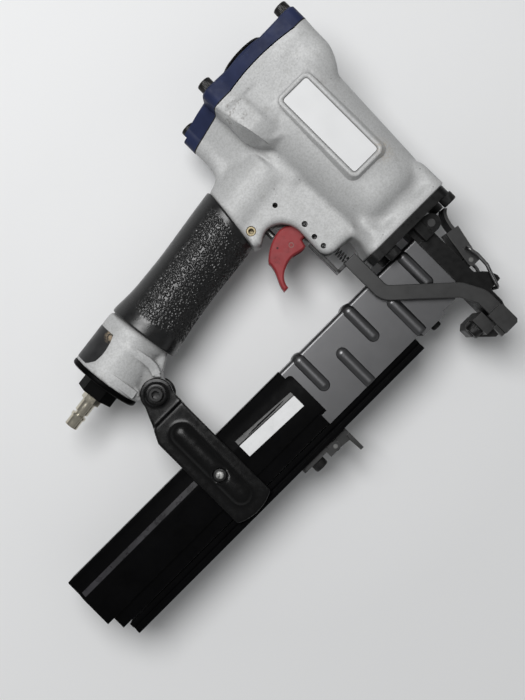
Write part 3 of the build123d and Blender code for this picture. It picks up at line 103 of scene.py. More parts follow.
# Casting: faces, bores and the slot of the trigger
BASE_Y = 97.0
SEAM_Y = 232.0
CAP_REAR_X = -42.3
TONGUE_SLOPE = 0.17
LIP_Z = 32.0
ARCH_HALF = 28.0
ARCH_RISE = 3.0
ARCH_STEPS = 16
CHAMBER_R = 27.0
CHAMBER_TOP_Y = 215.0
VALVE_BORE_R = 31.0
VALVE_BORE_Y = 214.0
RESERVOIR_R = 13.0
RESERVOIR_S = 6.0
STEM_BORE = dict(x=-70.0, y0=150, y1=183, r=7.95)
SPRING_BORE = dict(x=-46.5, y0=108, y1=122, r=3.3, sides=32)
SLOT = [(-90, 110), (-44, 110), (-44, 152), (-57, 153.5), (-57, 157), (-79, 157), (-81, 150),
        (-90, 150)]
SLOT_Z = 8.2

# Plugs that fill the bores of the solid while it is blended, a little wider than the bores
INSET = 0.1
CHAMBER_GROW = 1.0
CHAMBER_PLUG_Y = 216
VALVE_GROW = 1.5
VALVE_PLUG_Y = (205, 241)
RESERVOIR_GROW = 0.6
RESERVOIR_PLUG_S = 4
PIN_GROW = 0.3

# Limits well outside the casting, where its cutters end
CLEAR_FRONT_X = 60
CLEAR_REAR_X = -120
CLEAR_Y = 300
CLEAR_Z = 60
PIN_CLEAR_Z = 30
OVERRUN = 20
OVERLAP = 0.1

# Holes for pins: x, y, radius, lowest z, and z just inside the face that they start from
HOUSING_FACE = 16.95
LUG_FACE = 8.45
PIN_HOLES = [(-51.0, 142.0, 2.05, -30, HOUSING_FACE), (-52.3, 131.7, 1.85, -30, HOUSING_FACE),
             (-52.3, 123.4, 1.85, -30, HOUSING_FACE), (-56.0, 164.2, 1.8, 2, HOUSING_FACE),
             (-78.9, 163.3, 3.35, 8.2, HOUSING_FACE), (-198.0, 132.0, 3.05, -30, LUG_FACE)]

# Rear shoulder: y, then x and z of its ridge, then x and z where it meets the barrel
SHOULDER = [(236, -42.6, 39.0, -16, 38.2), (224, -40.0, 39.0, -16, 37.4),
            (211, -37.2, 38.6, -16, 36.7), (203, -35.4, 37.3, -16, 35.5),
            (197, -33.8, 33.8, -18, 33.9), (188, -31.0, 21.0, -20, 31.5)]
SHOULDER_FOOT_Z = 15
SHOULDER_CLEAR = 40
FLANK_RUN = 8.5
FLANK_Z = 20.5

# Name plate, the pocket under its frame, and rows of the frame: growth of the plate's outline,
# corner radius, height from the top
PLATE_R = 2.0
PLATE_PLUG_GROW = 1
PLATE_PLUG_DEEP = 3
POCKET_GROW = 6.2
POCKET_R = 4
POCKET_DEEP = 2.3
FRAME_PROUD = 0.6
FRAME_SINK = 0.03
FRAME_ROWS = [(12.6, 7.6, -6.4), (7.3, 5.2, -1.2), (6.5, 4.8, -0.3), (5.8, 4.5, 0.0),
              (2.6, 3.0, 0.0), (1.8, 2.6, -0.3), (0.5, 2.1, -1.0)]

# Blending: the share of the way to its neighbours that a vertex moves in each round
CASTING_VOXEL = 0.9
CASTING_ROUNDS = 46
SHARE_ROUNDS = 6
SOFT = 0.5
MILD = 0.1
FIRM = 0.08
CRISP = 0.06

# Places of the casting that are blended less
PLATE_ZONE = 6
PLATE_ZONE_Z = 32
HOUSING_ZONE_X = (-92, -44)
HOUSING_ZONE_Y = 161
HOUSING_ZONE_Z = 7
LUG_ZONE_X = -176
LUG_ZONE_Y = 168
SHOULDER_ZONE_X = -12
SHOULDER_ZONE_Y = 186
SHOULDER_ZONE_Z = 14
FACE_ZONE = 3
BASE_ZONE = 2

# Handle, tilted down to the rear: s runs along it from HANDLE, t across it
HANDLE = Vector((-80.0, 180.0, 0.0))
HANDLE_TILT = math.radians(7.5)
ALONG = Vector((-math.cos(HANDLE_TILT), -math.sin(HANDLE_TILT), 0))
ACROSS = Vector((-math.sin(HANDLE_TILT), math.cos(HANDLE_TILT), 0))
BELL_END_S = 137.0

# Grip, with the growth of its section at places along the handle, averaged over GRIP_SMOOTH
GRIP_ROWS = 320
GRIP_SIDES = 440
GRIP_LEN = 97.5
GRIP_HALF_T = 23.2
GRIP_HALF_Z = 20.5
GRIP_CORE_T = 19.5
GRIP_CORE_Z = 17.0
GRIP_ROUND = 1.6
GRIP_FRONT_X = -82.2
GRIP_LEAN = 0.104
GRIP_WAIST = 1.2
GRIP_FLARE = 2.6
GRIP_STOPS = [-6, 0.2 * GRIP_LEN, 0.5 * GRIP_LEN, 0.8 * GRIP_LEN, 0.95 * GRIP_LEN, GRIP_LEN]
GRIP_GROWS = [0, -0.35 * GRIP_WAIST, -GRIP_WAIST, -0.3 * GRIP_WAIST, 0.7 * GRIP_FLARE, GRIP_FLARE]
GRIP_SMOOTH = (-6, -3, 0, 3, 6)

# Pebbled grain of the grip: height, its two noises, and where it fades at the ends and the spine
PEBBLE = 0.55
PEBBLE_SCALE = 0.9
PEBBLE_FINE_SCALE = 2.1
PEBBLE_FINE_SHARE = 0.3
PEBBLE_STEP = (-0.12, 0.2)
PEBBLE_FRONT = (3.5, 7.5)
PEBBLE_REAR = (8, 14)
SPINE = (0.45, 0.62)

# Films on the magazine: the flat side ends at FILM_BEND, above it the side leans in
FILM_Z = 12.0
FILM_BEND = 70.5
FILM_SLOPE = 1.6 / 4.5
FILM_T = 0.1
FILM_SINK = 0.2
FILM_STEPS = 10
LABEL_X = (-183.3, -134.8)
LABEL_LOW = (60.2, 58.5)
LABEL_MID = (69.7, 67.8)
LABEL_TOP = (74.0, 71.0)
STRIP_X = (-324.5, -220.7)
STRIP_LOW = (71.0, 71.0)
STRIP_TOP = (74.6, 74.6)

# Film on the bell: its run along the handle, the bell's section, and how far round it the film goes
BELL_ROWS = 40
BELL_SIDES = 60
BELL_FILM_S = 109
BELL_FILM_LEN = 25.5
BELL_MID_T = 2
BELL_HALF_T = 23.6
BELL_HALF_Z = 21
BELL_FILM_BACK = 60
BELL_EDGE_S = [109, 114, 119, 124, 129.5, 133, 134.5]
BELL_EDGE = [61, 65.5, 67.5, 68, 65, 57, 52]
BELL_FILM_GAP = 0.1
BELL_FILM_T = 0.15

# Ribs from the bell to the lug: x, y and z of the top, and half a section as offset and height
FRONT_RIB = [(-188.9, 168.5, 19.0), (-187.5, 158.5, 18.7), (-186.4, 152.0, 16.3),
             (-186.6, 147.0, 13.6), (-187.7, 143.5, 12.6), (-188.7, 141.3, 12.2)]
REAR_RIB = [(-210.7, 166.0, 20.7), (-209.9, 158.5, 20.9), (-209.1, 151.0, 18.9),
            (-208.6, 145.0, 15.8), (-208.4, 143.0, 14.8), (-208.2, 141.5, 14.2)]
RIB_HALF = [(3.2, -7.0), (2.9, -0.5), (2.5, -0.08), (2.1, 0.0)]

# Shaped ends of pins, radius and depth below the top, and the depth of the full radius above each
PIN_CHAMFER = 0.3
DOMED_END = [(1.7, 0.9), (1.45, 0.6), (0.95, 0.75), (0.85, 0.45), (0.5, 0.25), (0.1, 0.2)]
DOMED_RIM = 0.9
HOLLOW_END = [(1.65, 2.2), (1.5, 2.0), (1.35, 2.0), (1.2, 9.0)]
HOLLOW_RIM = 2.3
TUBE_END = [(1.9, 1.0), (1.5, 1.4), (1.4, 7.0)]
TUBE_RIM = 1.4
TUBE_WALL = 0.4
TUBE_LIP = 1.0

# Rivets of the bracket: root as radius and z, head as radius and height above its seat
RIVET_ROOT = (3.0, 8.0)
RIVET_HEAD = [(3.0, 0.0), (4.2, 0.02), (4.15, 0.3), (2.9, 0.45), (2.7, 1.0), (2.1, 1.42),
              (1.2, 1.57), (0.3, 1.6)]
RIVET_HEAD_H = 1.6
# The rivet colour turns from black to bare metal with a painted glint between these two heights
RIVET_BLACK_Z = 15.7
RIVET_GLINT_TOP_Z = 16.2

# Screws: radius and height of the head, radius of the shank, width across the socket
M6 = dict(head_r=5, head_h=6, shank_r=3, across=5)
M6_LOW = dict(head_r=5, head_h=3.6, shank_r=3, across=5)
M4 = dict(head_r=3.5, head_h=4, shank_r=2, across=3)
SCREW_SIDES = 96
KNURL = 0.16
KNURL_EVERY = 3
SOCKET_DEEP = 0.75
SOCKET_POINT = 0.08
SCREW_TURN = 0.4
SCREW_TURN_STEP = 1.7

# Seats of the screws' heads
CAP_SEATS = [(x, 244, z) for x in (32.9, -35.0) for z in (32.5, -32.5)] + [(-59, 238, 0)]
NOSE_SEATS = [(x, 91, z) for x in (24.5, -24.5) for z in (22, -22)]
FOOT_SEAT = (-17.8, 14.2, 8)
MAGAZINE_SEAT = (-35, 35.6, 0)
RAIL_SEAT = (-155, 25.9, 0)
LUG_X = -198
LUG_Y = 132
NUT_REACH = 3

# Coils of springs: points per turn, sides of the wire, closed turns at each end
COIL_STEPS = 24
COIL_SIDES = 8
COIL_CLOSED = 0.8

# Pressed brackets, crisp above EYE_Y
BRACKET_VOXEL = 0.6
BRACKET_ROUNDS = 16
EYE_Y = 122
EYE_SHARE = 0.12

# Small rounded edges of the solids that stay
BEVELS = {"cylinder_cap": 0.7, "magazine_front": 0.3, "contact_arm": 0.7, "contact_foot": 0.6,
          "nose_body": 0.5, "nose_door": 0.4, "latch_lever": 0.5, "handle_end_cap": 0.5,
          "trigger": 1.5, "magazine_rear": 0.4, "lower_rail": 0.3, "latch_mount": 0.4,
          "rail_latch": 0.4, "trip_link": 0.4, "air_plug": 0.25, "exhaust_deflector": 0.4}
BEVEL_SEGMENTS = 3
BEVEL_ANGLE = 35
FLAT_ANGLE = 0.3
WELD_GAP = 0.01
SHARP_ANGLE = 30

# Marks on the paint
WARM_PLACE = (16.0, 140.0, 34.0)
SCUFF_PLACE = (-36.0, 222.0, 36.0)
RUBBED_PLACE = (-191.0, 179.8, 18.0)
TRIGGER_SPOT = (-73.8, 144.0)
TRIGGER_RING = (-65.9, 139.0)

# Tones of the silver paint
PAINT_DARK = (0.42, 0.425, 0.425)
PAINT_PALE = (0.49, 0.495, 0.495)
PAINT_FLECK = (0.56, 0.56, 0.555)
PAINT_GRAIN = (0.25, 0.25, 0.245)
PAINT_WARM = (0.40, 0.33, 0.24)
PAINT_SCUFF = (0.12, 0.11, 0.10)
PAINT_GRIME = (0.27, 0.265, 0.25)
PAINT_PIT = (0.06, 0.055, 0.05)
# Painted shade, laid into the casting's corners and creases
PAINT_CREVICE_SHADE = (0.16, 0.155, 0.15)
PAINT_RUBBED = (0.70, 0.70, 0.69)

# Tones of the trigger, the film on the bell and the rivets
RED_DARK = (0.23, 0.030, 0.034)
RED_PALE = (0.30, 0.042, 0.046)
RED_SCUFF = (0.08, 0.016, 0.016)
RED_SPOT = (0.03, 0.008, 0.008)
RED_RING = (0.20, 0.16, 0.14)
RED_RUBBED = (0.45, 0.10, 0.10)
BELL_FILM_DARK = (0.012, 0.012, 0.013)
BELL_FILM_PALE = (0.022, 0.022, 0.023)
BELL_FILM_RUBBED = (0.30, 0.24, 0.17)
RIVET_BLACK = (0.008, 0.008, 0.008)
# Rivet top: partly rubbed bare metal, partly a painted highlight
RIVET_BARE_GLINT = (0.42, 0.42, 0.41)

# Finishes with a soft, even surface
PLAIN = {
    "white_plate": dict(colour=(0.70, 0.705, 0.71), rough=0.45, gloss=0.25, vary=0.03, bump=0.02),
    "grip_rubber": dict(colour=(0.004, 0.004, 0.0042), rough=0.3, vary=0.2, grain=2500),
    "plug_metal": dict(colour=(0.56, 0.52, 0.43), rough=0.12, metal=1.0, vary=0.25, bump=0.02),
    "gasket": dict(colour=(0.012, 0.012, 0.012), rough=0.7, gloss=0.2),
    "bright_steel": dict(colour=(0.17, 0.17, 0.165), rough=0.4, metal=1.0),
    "spring_steel": dict(colour=(0.14, 0.14, 0.14), rough=0.32, metal=1.0),
    "sleeve_metal": dict(colour=(0.6, 0.61, 0.62), rough=0.3, metal=1.0),
    "seal_rubber": dict(colour=(0.015, 0.015, 0.015), rough=0.6, gloss=0.3),
    "brass": dict(colour=(0.20, 0.165, 0.10), rough=0.38, metal=0.7, vary=0.25),
    "label_white": dict(colour=(0.74, 0.745, 0.75), rough=0.3, vary=0.04, bump=0.02),
    "label_black": dict(colour=(0.003, 0.003, 0.003), rough=0.18, gloss=0.2, vary=0.2, bump=0.02),
    "label_grey": dict(colour=(0.022, 0.021, 0.024), rough=0.3, gloss=0.3, vary=0.4, bump=0.02),
    "valve_olive": dict(colour=(0.030, 0.026, 0.015), rough=0.3, metal=0.3, vary=0.3),
    "pin_steel": dict(colour=(0.06, 0.06, 0.06), rough=0.3, metal=0.8),
    "white_plastic": dict(colour=(0.7, 0.7, 0.67), rough=0.5),
}

# Finishes whose edges are rubbed to a bare tone
WORN = {
    "black_plastic": dict(colour=(0.0018, 0.0018, 0.0019), rough=0.34, gloss=0.025,
                          bare=(0.05, 0.05, 0.05)),
    "cap_blue": dict(colour=(0.021, 0.028, 0.070), rough=0.46, gloss=0.1,
                     bare=(0.10, 0.115, 0.16), wear=0.45),
    "black_screw": dict(colour=(0.006, 0.006, 0.006), rough=0.34, gloss=0.25,
                        bare=(0.12, 0.12, 0.12), wear=0.5),
    "dark_steel": dict(colour=(0.025, 0.025, 0.025), rough=0.4, gloss=0.42,
                       bare=(0.16, 0.16, 0.155), wear=0.5),
    "nose_steel": dict(colour=(0.0045, 0.0045, 0.0045), rough=0.32, gloss=0.2,
                       bare=(0.14, 0.14, 0.135), wear=0.5),
    "magazine_grey": dict(colour=(0.115, 0.115, 0.118), rough=0.37, gloss=0.5, metal=1.0,
                          bare=(0.25, 0.25, 0.25), wear=0.3, bump=0.03, vary=0.2),
    "rail_black": dict(colour=(0.0020, 0.0020, 0.0022), rough=0.36, gloss=0.025,
                       bare=(0.12, 0.12, 0.12), wear=0.1, edge=0.4),
    "bracket_black": dict(colour=(0.0018, 0.0018, 0.0019), rough=0.24, gloss=0.22,
                          bare=(0.10, 0.10, 0.10), wear=0.35, edge=1.2, sharp=0.93),
}

# Solids that look other than their material slot
FINISH_OF = {"trigger_valve": "valve_olive", "pawl_pin": "trigger_red"}


def box_of(node):
    """Lowest and highest corner of a node, in mm."""
    low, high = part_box(node)
    return low / MM, high / MM


def maths_node(tree, operation, first, second):
    """Output of a maths node; each input is a number or an output."""
    node = tree.nodes.new("ShaderNodeMath")
    node.operation = operation
    for slot, item in enumerate((first, second)):
        if isinstance(item, (int, float)):
            node.inputs[slot].default_value = item
        else:
            tree.links.new(item, node.inputs[slot])
    return node.outputs["Value"]


def ramp_node(tree, value, low, high, start, end, kind="LINEAR"):
    """Value from low..high mapped to start..end, held outside."""
    node = tree.nodes.new("ShaderNodeMapRange")
    node.interpolation_type = kind
    numbers = {"From Min": low, "From Max": high, "To Min": start, "To Max": end}
    for key, number in numbers.items():
        node.inputs[key].default_value = number
    tree.links.new(value, node.inputs["Value"])
    return node.outputs["Result"]


def scaled(colour, factor):
    """Colour made darker or lighter."""
    return tuple(min(1, c * factor) for c in colour)


class Shader:
    """Small helper that builds a node material around one Principled shader."""

    def __init__(self, name, metal=0.0, gloss=0.5):
        self.material = bpy.data.materials.new(name)
        self.material.use_nodes = True
        self.tree = self.material.node_tree
        self.main = self.tree.nodes["Principled BSDF"]
        self.main.inputs["Metallic"].default_value = metal
        self.main.inputs["Specular IOR Level"].default_value = gloss
        self.place = self.add("ShaderNodeTexCoord").outputs["Object"]
        self.normal = None

    def add(self, kind, **values):
        node = self.tree.nodes.new(kind)
        for key, value in values.items():
            setattr(node, key, value)
        return node

    def link(self, source, target):
        self.tree.links.new(source, target)

    def maths(self, operation, first, second):
        return maths_node(self.tree, operation, first, second)

    def both(self, first, second):
        """Where two masks overlap."""
        return self.maths("MULTIPLY", first, second)

    def ramp(self, value, low, high, start=0.0, end=1.0):
        """Value from low..high mapped to start..end, held outside."""
        return ramp_node(self.tree, value, low, high, start, end)

    def noise(self, scale, detail=3.0, rough=0.5):
        """Grey noise, with scale in features per metre."""
        texture = self.add("ShaderNodeTexNoise")
        texture.inputs["Scale"].default_value = scale
        texture.inputs["Detail"].default_value = detail
        texture.inputs["Roughness"].default_value = rough
        self.link(self.place, texture.inputs["Vector"])
        return texture.outputs["Fac"]

    def clouds(self, scale, detail=3.0, rough=0.5, low=0.3, high=0.7):
        """Noise spread so that low becomes 0 and high becomes 1."""
        return self.ramp(self.noise(scale, detail, rough), low, high)

    def cells(self, scale):
        """Distance to scattered points, with scale in points per metre."""
        texture = self.add("ShaderNodeTexVoronoi")
        texture.inputs["Scale"].default_value = scale
        self.link(self.place, texture.inputs["Vector"])
        return texture.outputs["Distance"]

    def along(self, axis):
        """Coordinate along X, Y or Z, in metres."""
        split = self.add("ShaderNodeSeparateXYZ")
        self.link(self.place, split.inputs["Vector"])
        return split.outputs[axis]

    def near(self, place, inner, outer):
        """1 within inner mm of a place, fading to 0 at outer mm."""
        node = self.add("ShaderNodeVectorMath", operation="DISTANCE")
        node.inputs[1].default_value = tuple(c * MM for c in place)
        self.link(self.place, node.inputs[0])
        return self.ramp(node.outputs["Value"], outer * MM, inner * MM)

    def edges(self, radius, sharp=0.82):
        """1 near edges and corners, 0 on open faces."""
        bevel = self.add("ShaderNodeBevel", samples=6)
        bevel.inputs["Radius"].default_value = radius * MM
        geometry = self.add("ShaderNodeNewGeometry")
        dot = self.add("ShaderNodeVectorMath", operation="DOT_PRODUCT")
        self.link(bevel.outputs["Normal"], dot.inputs[0])
        self.link(geometry.outputs["Normal"], dot.inputs[1])
        return self.ramp(dot.outputs["Value"], 1.0, sharp)

    def crevice(self, reach, open_at=0.9, deep_at=0.45):
        """1 deep in corners, 0 on open faces."""
        node = self.add("ShaderNodeAmbientOcclusion", samples=8)
        node.inputs["Distance"].default_value = reach * MM
        return self.ramp(node.outputs["AO"], open_at, deep_at)

    def mix(self, share, first, second):
        """Colour between two colours or colour outputs."""
        node = self.add("ShaderNodeMix", data_type="RGBA")
        self.link(share, node.inputs["Factor"])
        for name, item in (("A", first), ("B", second)):
            socket = [s for s in node.inputs if s.name == name and s.type == "RGBA"][0]
            if isinstance(item, tuple):
                socket.default_value = (*item, 1.0)
            else:
                self.link(item, socket)
        return [s for s in node.outputs if s.type == "RGBA"][0]

    def layer(self, tone, mask, strength, colour):
        """Tone with a colour laid over it where the mask shows it."""
        return self.mix(self.maths("MULTIPLY", mask, strength), tone, colour)

    def colour(self, output):
        self.link(output, self.main.inputs["Base Color"])

    def roughness(self, scale, smooth, dull, detail=3.0):
        """Sets a roughness that drifts between two values."""
        drift = self.ramp(self.noise(scale, detail), 0.3, 0.7, smooth, dull)
        self.link(drift, self.main.inputs["Roughness"])

    def bump(self, height, strength, depth):
        """Adds a bump, on top of earlier ones."""
        node = self.add("ShaderNodeBump")
        node.inputs["Strength"].default_value = strength
        node.inputs["Distance"].default_value = depth * MM
        self.link(height, node.inputs["Height"])
        if self.normal is not None:
            self.link(self.normal, node.inputs["Normal"])
        self.normal = node.outputs["Normal"]
        self.link(self.normal, self.main.inputs["Normal"])


def plain(name, colour, rough, metal=0.0, gloss=0.5, grain=900, vary=0.12, bump=0.06):
    """Surface with soft colour and gloss variation and a fine grain."""
    s = Shader(name, metal, gloss)
    s.colour(s.mix(s.clouds(60, 4), scaled(colour, 1 - vary), scaled(colour, 1 + vary)))
    s.roughness(240, rough - 0.07, rough + 0.07)
    s.bump(s.noise(grain), bump, 0.4)
    return s.material


def worn(name, colour, rough, gloss, bare, wear=0.35, edge=0.6, metal=0.0, bump=0.05, sharp=0.82,
         vary=1.0):
    """Painted or blackened metal whose edges are rubbed to a paler bare tone."""
    s = Shader(name, metal, gloss)
    dusty = tuple(min(1, 2.2 * c + 0.001) for c in colour)
    darker = scaled(colour, 1 - 0.25 * vary)
    lighter = scaled(colour, 1 + 0.2 * vary)
    tone = s.mix(s.clouds(70, 4), darker, lighter)
    tone = s.layer(tone, s.clouds(420, 5, 0.7, 0.58, 0.75), 0.25 * vary, dusty)
    rub = s.both(s.edges(edge, sharp), s.clouds(160, 4, 0.6, 0.42, 0.62))
    s.colour(s.layer(tone, rub, wear, bare))
    s.roughness(300, rough - 0.06 * vary, rough + 0.08 * vary)
    s.bump(s.noise(1400), bump, 0.3)
    return s.material


def silver_paint():
    """Satin silver paint on a die casting, with small dark pits, grime, painted shade in its
    corners and creases, and rubbed edges.
    """
    s = Shader("silver_paint", metal=0.12, gloss=0.4)
    tone = s.mix(s.clouds(45, 5, 0.55), PAINT_DARK, PAINT_PALE)
    tone = s.layer(tone, s.clouds(2600, 2, low=0.35, high=0.65), 0.3, PAINT_FLECK)
    tone = s.layer(tone, s.clouds(800, 3, 0.6, 0.42, 0.64), 0.34, PAINT_GRAIN)
    warm = s.both(s.near(WARM_PLACE, 4, 11), s.clouds(700, low=0.45, high=0.6))
    tone = s.layer(tone, warm, 0.45, PAINT_WARM)
    scuff = s.both(s.near(SCUFF_PLACE, 5, 14), s.clouds(420, 5, 0.7, 0.52, 0.64))
    tone = s.layer(tone, scuff, 0.7, PAINT_SCUFF)
    tone = s.layer(tone, s.clouds(120, 6, 0.65, 0.58, 0.74), 0.4, PAINT_GRIME)
    pits = s.both(s.ramp(s.cells(170), 0.10, 0.045), s.clouds(90, low=0.50, high=0.57))
    tone = s.layer(tone, pits, 0.8, PAINT_PIT)
    # painted shade: colour darkened deep in corners and creases, where shade falls
    tone = s.layer(tone, s.crevice(8), 0.5, PAINT_CREVICE_SHADE)
    rub = s.both(s.edges(1.0, 0.9), s.clouds(140, 4, 0.6, 0.45, 0.6))
    s.colour(s.layer(tone, rub, 0.3, PAINT_RUBBED))
    s.roughness(300, 0.48, 0.60, detail=4)
    s.bump(s.noise(650, 4, 0.6), 0.3, 0.4)
    s.bump(s.maths("SUBTRACT", 1.0, pits), 0.3, 0.3)
    return s.material


def trigger_red():
    """Scuffed red moulding with a few dark marks."""
    s = Shader("trigger_red", gloss=0.2)
    side = box_of("trigger")[1].z
    ring = (*TRIGGER_RING, side)
    tone = s.mix(s.clouds(90, 4), RED_DARK, RED_PALE)
    tone = s.layer(tone, s.clouds(220, 6, 0.7, 0.55, 0.72), 0.5, RED_SCUFF)
    tone = s.mix(s.near((*TRIGGER_SPOT, side), 0.5, 1.0), tone, RED_SPOT)
    circle = s.maths("SUBTRACT", s.near(ring, 1.6, 2.0), s.near(ring, 1.0, 1.4))
    tone = s.layer(tone, circle, 0.7, RED_RING)
    rub = s.both(s.edges(0.7), s.clouds(240, low=0.45, high=0.6))
    s.colour(s.layer(tone, rub, 0.3, RED_RUBBED))
    s.roughness(300, 0.42, 0.56)
    s.bump(s.noise(900, 4), 0.12, 0.3)
    return s.material


def film_dark():
    """Dark film on the handle end, rubbed brown at one corner."""
    s = Shader("film_dark", gloss=0.3)
    tone = s.mix(s.clouds(120, 4, low=0.35, high=0.65), BELL_FILM_DARK, BELL_FILM_PALE)
    rub = s.both(s.near(RUBBED_PLACE, 2, 6), s.clouds(350, 5, 0.6, 0.42, 0.55))
    s.colour(s.mix(rub, tone, BELL_FILM_RUBBED))
    s.roughness(200, 0.3, 0.45)
    s.bump(s.noise(700), 0.05, 0.2)
    return s.material


def rivet_steel():
    """Black rivet whose dome is rubbed bare and lightened further as a painted glint."""
    s = Shader("rivet_steel", metal=0.4)
    height = s.maths("ABSOLUTE", s.along("Z"), 0.0)
    dome = s.ramp(height, RIVET_BLACK_Z * MM, RIVET_GLINT_TOP_Z * MM)
    # The dome top is lightened: partly bare rubbed metal, partly a painted glint
    bare = s.both(dome, s.clouds(500, 4, low=0.3, high=0.55))
    s.colour(s.mix(bare, RIVET_BLACK, RIVET_BARE_GLINT))
    s.roughness(400, 0.35, 0.5)
    s.bump(s.noise(900), 0.1, 0.3)
    return s.material


MATERIALS = {
    "casting": silver_paint(),
    "trigger_red": trigger_red(),
    "film_dark": film_dark(),
    "rivet": rivet_steel(),
}
MATERIALS.update({name: plain(name, **values) for name, values in PLAIN.items()})
MATERIALS.update({name: worn(name, **values) for name, values in WORN.items()})


def placed(name, data):
    """New object in the scene."""
    item = bpy.data.objects.new(name, data)
    bpy.context.scene.collection.objects.link(item)
    return item


def mesh_of(name, points, faces):
    """Mesh from points in mm."""
    mesh = bpy.data.meshes.new(name)
    mesh.from_pydata([tuple(c * MM for c in p) for p in points], [], faces)
    data = bmesh.new()
    data.from_mesh(mesh)
    bmesh.ops.recalc_face_normals(data, faces=data.faces)
    data.to_mesh(mesh)
    data.free()
    return mesh


def piece_of(name, mesh, body, slot, *replaced, angle=35, finish=None):
    """Piece of the scene that moves with a body and may stand for solids."""
    mesh.shade_smooth()
    mesh.set_sharp_from_angle(angle=math.radians(angle))
    mesh.materials.clear()
    mesh.materials.append(MATERIALS[finish or slot])
    piece = placed(name, mesh)
    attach(piece, body)
    if replaced:
        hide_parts(*replaced)
    return piece


def turns_of(sides):
    """Angles of equal steps round a circle, in radians."""
    return [2 * math.pi * k / sides for k in range(sides)]


def ring_of(centre, u, v, r, sides):
    """Points of a circle in the plane of u and v."""
    return [centre + u * (r * math.cos(a)) + v * (r * math.sin(a)) for a in turns_of(sides)]


def band(one, two, n):
    """Faces between two loops of n points, given the number of each loop's first point."""
    faces = []
    for k in range(n):
        j = (k + 1) % n
        faces.append([one + k, one + j, two + j, two + k])
    return faces


def stacked(loops):
    """Closed mesh through loops of equal count, with flat ends."""
    n = len(loops[0])
    points = [p for loop in loops for p in loop]
    faces = [list(range(n)), list(range(len(points) - n, len(points)))]
    for row in range(len(loops) - 1):
        faces += band(row * n, (row + 1) * n, n)
    return mesh_of("stacked", points, faces)


def rod(start, end, r, sides=64):
    """Closed cylinder between two points."""
    start, end = Vector(start), Vector(end)
    axis = (end - start).normalized()
    u = axis.orthogonal().normalized()
    v = axis.cross(u)
    return stacked([ring_of(start, u, v, r, sides), ring_of(end, u, v, r, sides)])


def bore(x, y0, y1, r, sides=64):
    """Closed cylinder along y in the middle plane."""
    return rod((x, y0, 0), (x, y1, 0), r, sides)


def turned(x, y, rows, sides=40):
    """Turned shape about an axis along z; rows are radius and z."""
    return stacked([ring_of(Vector((x, y, z)), X_WAY, Y_WAY, r, sides) for r, z in rows])


def prism(outline, z0, z1):
    """Closed prism over an outline in the XY plane."""
    return stacked([[(x, y, z) for x, y in outline] for z in (z0, z1)])


def rounded(x, y, width, height, r, steps=6):
    """Outline of a rectangle with round corners."""
    outline = []
    for sx, sy, start in ((1, 1, 0), (-1, 1, 90), (-1, -1, 180), (1, -1, 270)):
        corner_x = x + sx * (width / 2 - r)
        corner_y = y + sy * (height / 2 - r)
        for k in range(steps + 1):
            a = math.radians(start + 90 * k / steps)
            outline.append((corner_x + r * math.cos(a), corner_y + r * math.sin(a)))
    return outline


def on_handle(s, t=0.0, z=0.0):
    """Point at s along the handle, t across it and z sideways."""
    return HANDLE + ALONG * s + ACROSS * t + Vector((0, 0, z))


def smooth_step(value, low, high):
    """0 below low, 1 above high, with a soft change between."""
    t = min(1.0, max(0.0, (value - low) / (high - low)))
    return t * t * (3 - 2 * t)


def worked(mesh, *steps):
    """Mesh after modifiers, given as (kind, settings) pairs."""
    holder = placed("holder", mesh)
    tools = []
    for kind, values in steps:
        step = holder.modifiers.new(kind.lower(), kind)
        for key, value in values.items():
            if isinstance(value, bpy.types.Mesh):
                value = placed("tool", value)
                tools.append(value)
            setattr(step, key, value)
    depsgraph = bpy.context.evaluated_depsgraph_get()
    result = bpy.data.meshes.new_from_object(holder.evaluated_get(depsgraph))
    for item in tools + [holder]:
        bpy.data.objects.remove(item)
    return result


def remeshed(mesh, voxel):
    """Mesh rebuilt from small cubes, which joins what overlaps."""
    return worked(mesh, ("REMESH", {"mode": "VOXEL", "voxel_size": voxel * MM}))


def carved(mesh, cutters):
    """Mesh with each cutter taken away."""
    steps = []
    for cutter in cutters:
        values = {"operation": "DIFFERENCE", "solver": "MANIFOLD", "object": cutter}
        steps.append(("BOOLEAN", values))
    return worked(mesh, *steps)


def joined(meshes):
    """One mesh from several."""
    data = bmesh.new()
    for mesh in meshes:
        data.from_mesh(mesh)
    result = bpy.data.meshes.new("joined")
    data.to_mesh(result)
    data.free()
    return result


def neighbour_mean(values, edges, count):
    """Mean of each vertex's neighbours."""
    total = np.zeros_like(values)
    for axis in range(values.shape[1]):
        column = values[:, axis]
        total[:, axis] = np.bincount(edges[:, 0], column[edges[:, 1]], len(values))
        total[:, axis] += np.bincount(edges[:, 1], column[edges[:, 0]], len(values))
    return total / count[:, None]


def softened(mesh, share_at, rounds):
    """Moves vertices towards their neighbours, by a share that depends on the place in mm."""
    points = np.empty(len(mesh.vertices) * 3)
    mesh.vertices.foreach_get("co", points)
    points = points.reshape(-1, 3)
    edges = np.empty(len(mesh.edges) * 2, dtype=np.int32)
    mesh.edges.foreach_get("vertices", edges)
    edges = edges.reshape(-1, 2)
    count = np.maximum(np.bincount(edges.ravel(), minlength=len(points)), 1)
    share = share_at(points / MM)[:, None]
    for _ in range(SHARE_ROUNDS):
        share = neighbour_mean(share, edges, count)
    for _ in range(rounds):
        points += share * (neighbour_mean(points, edges, count) - points)
    mesh.vertices.foreach_set("co", points.ravel())
    mesh.update()
    return mesh


def between(values, low, high):
    """Where values lie between two limits."""
    return (values > low) & (values < high)


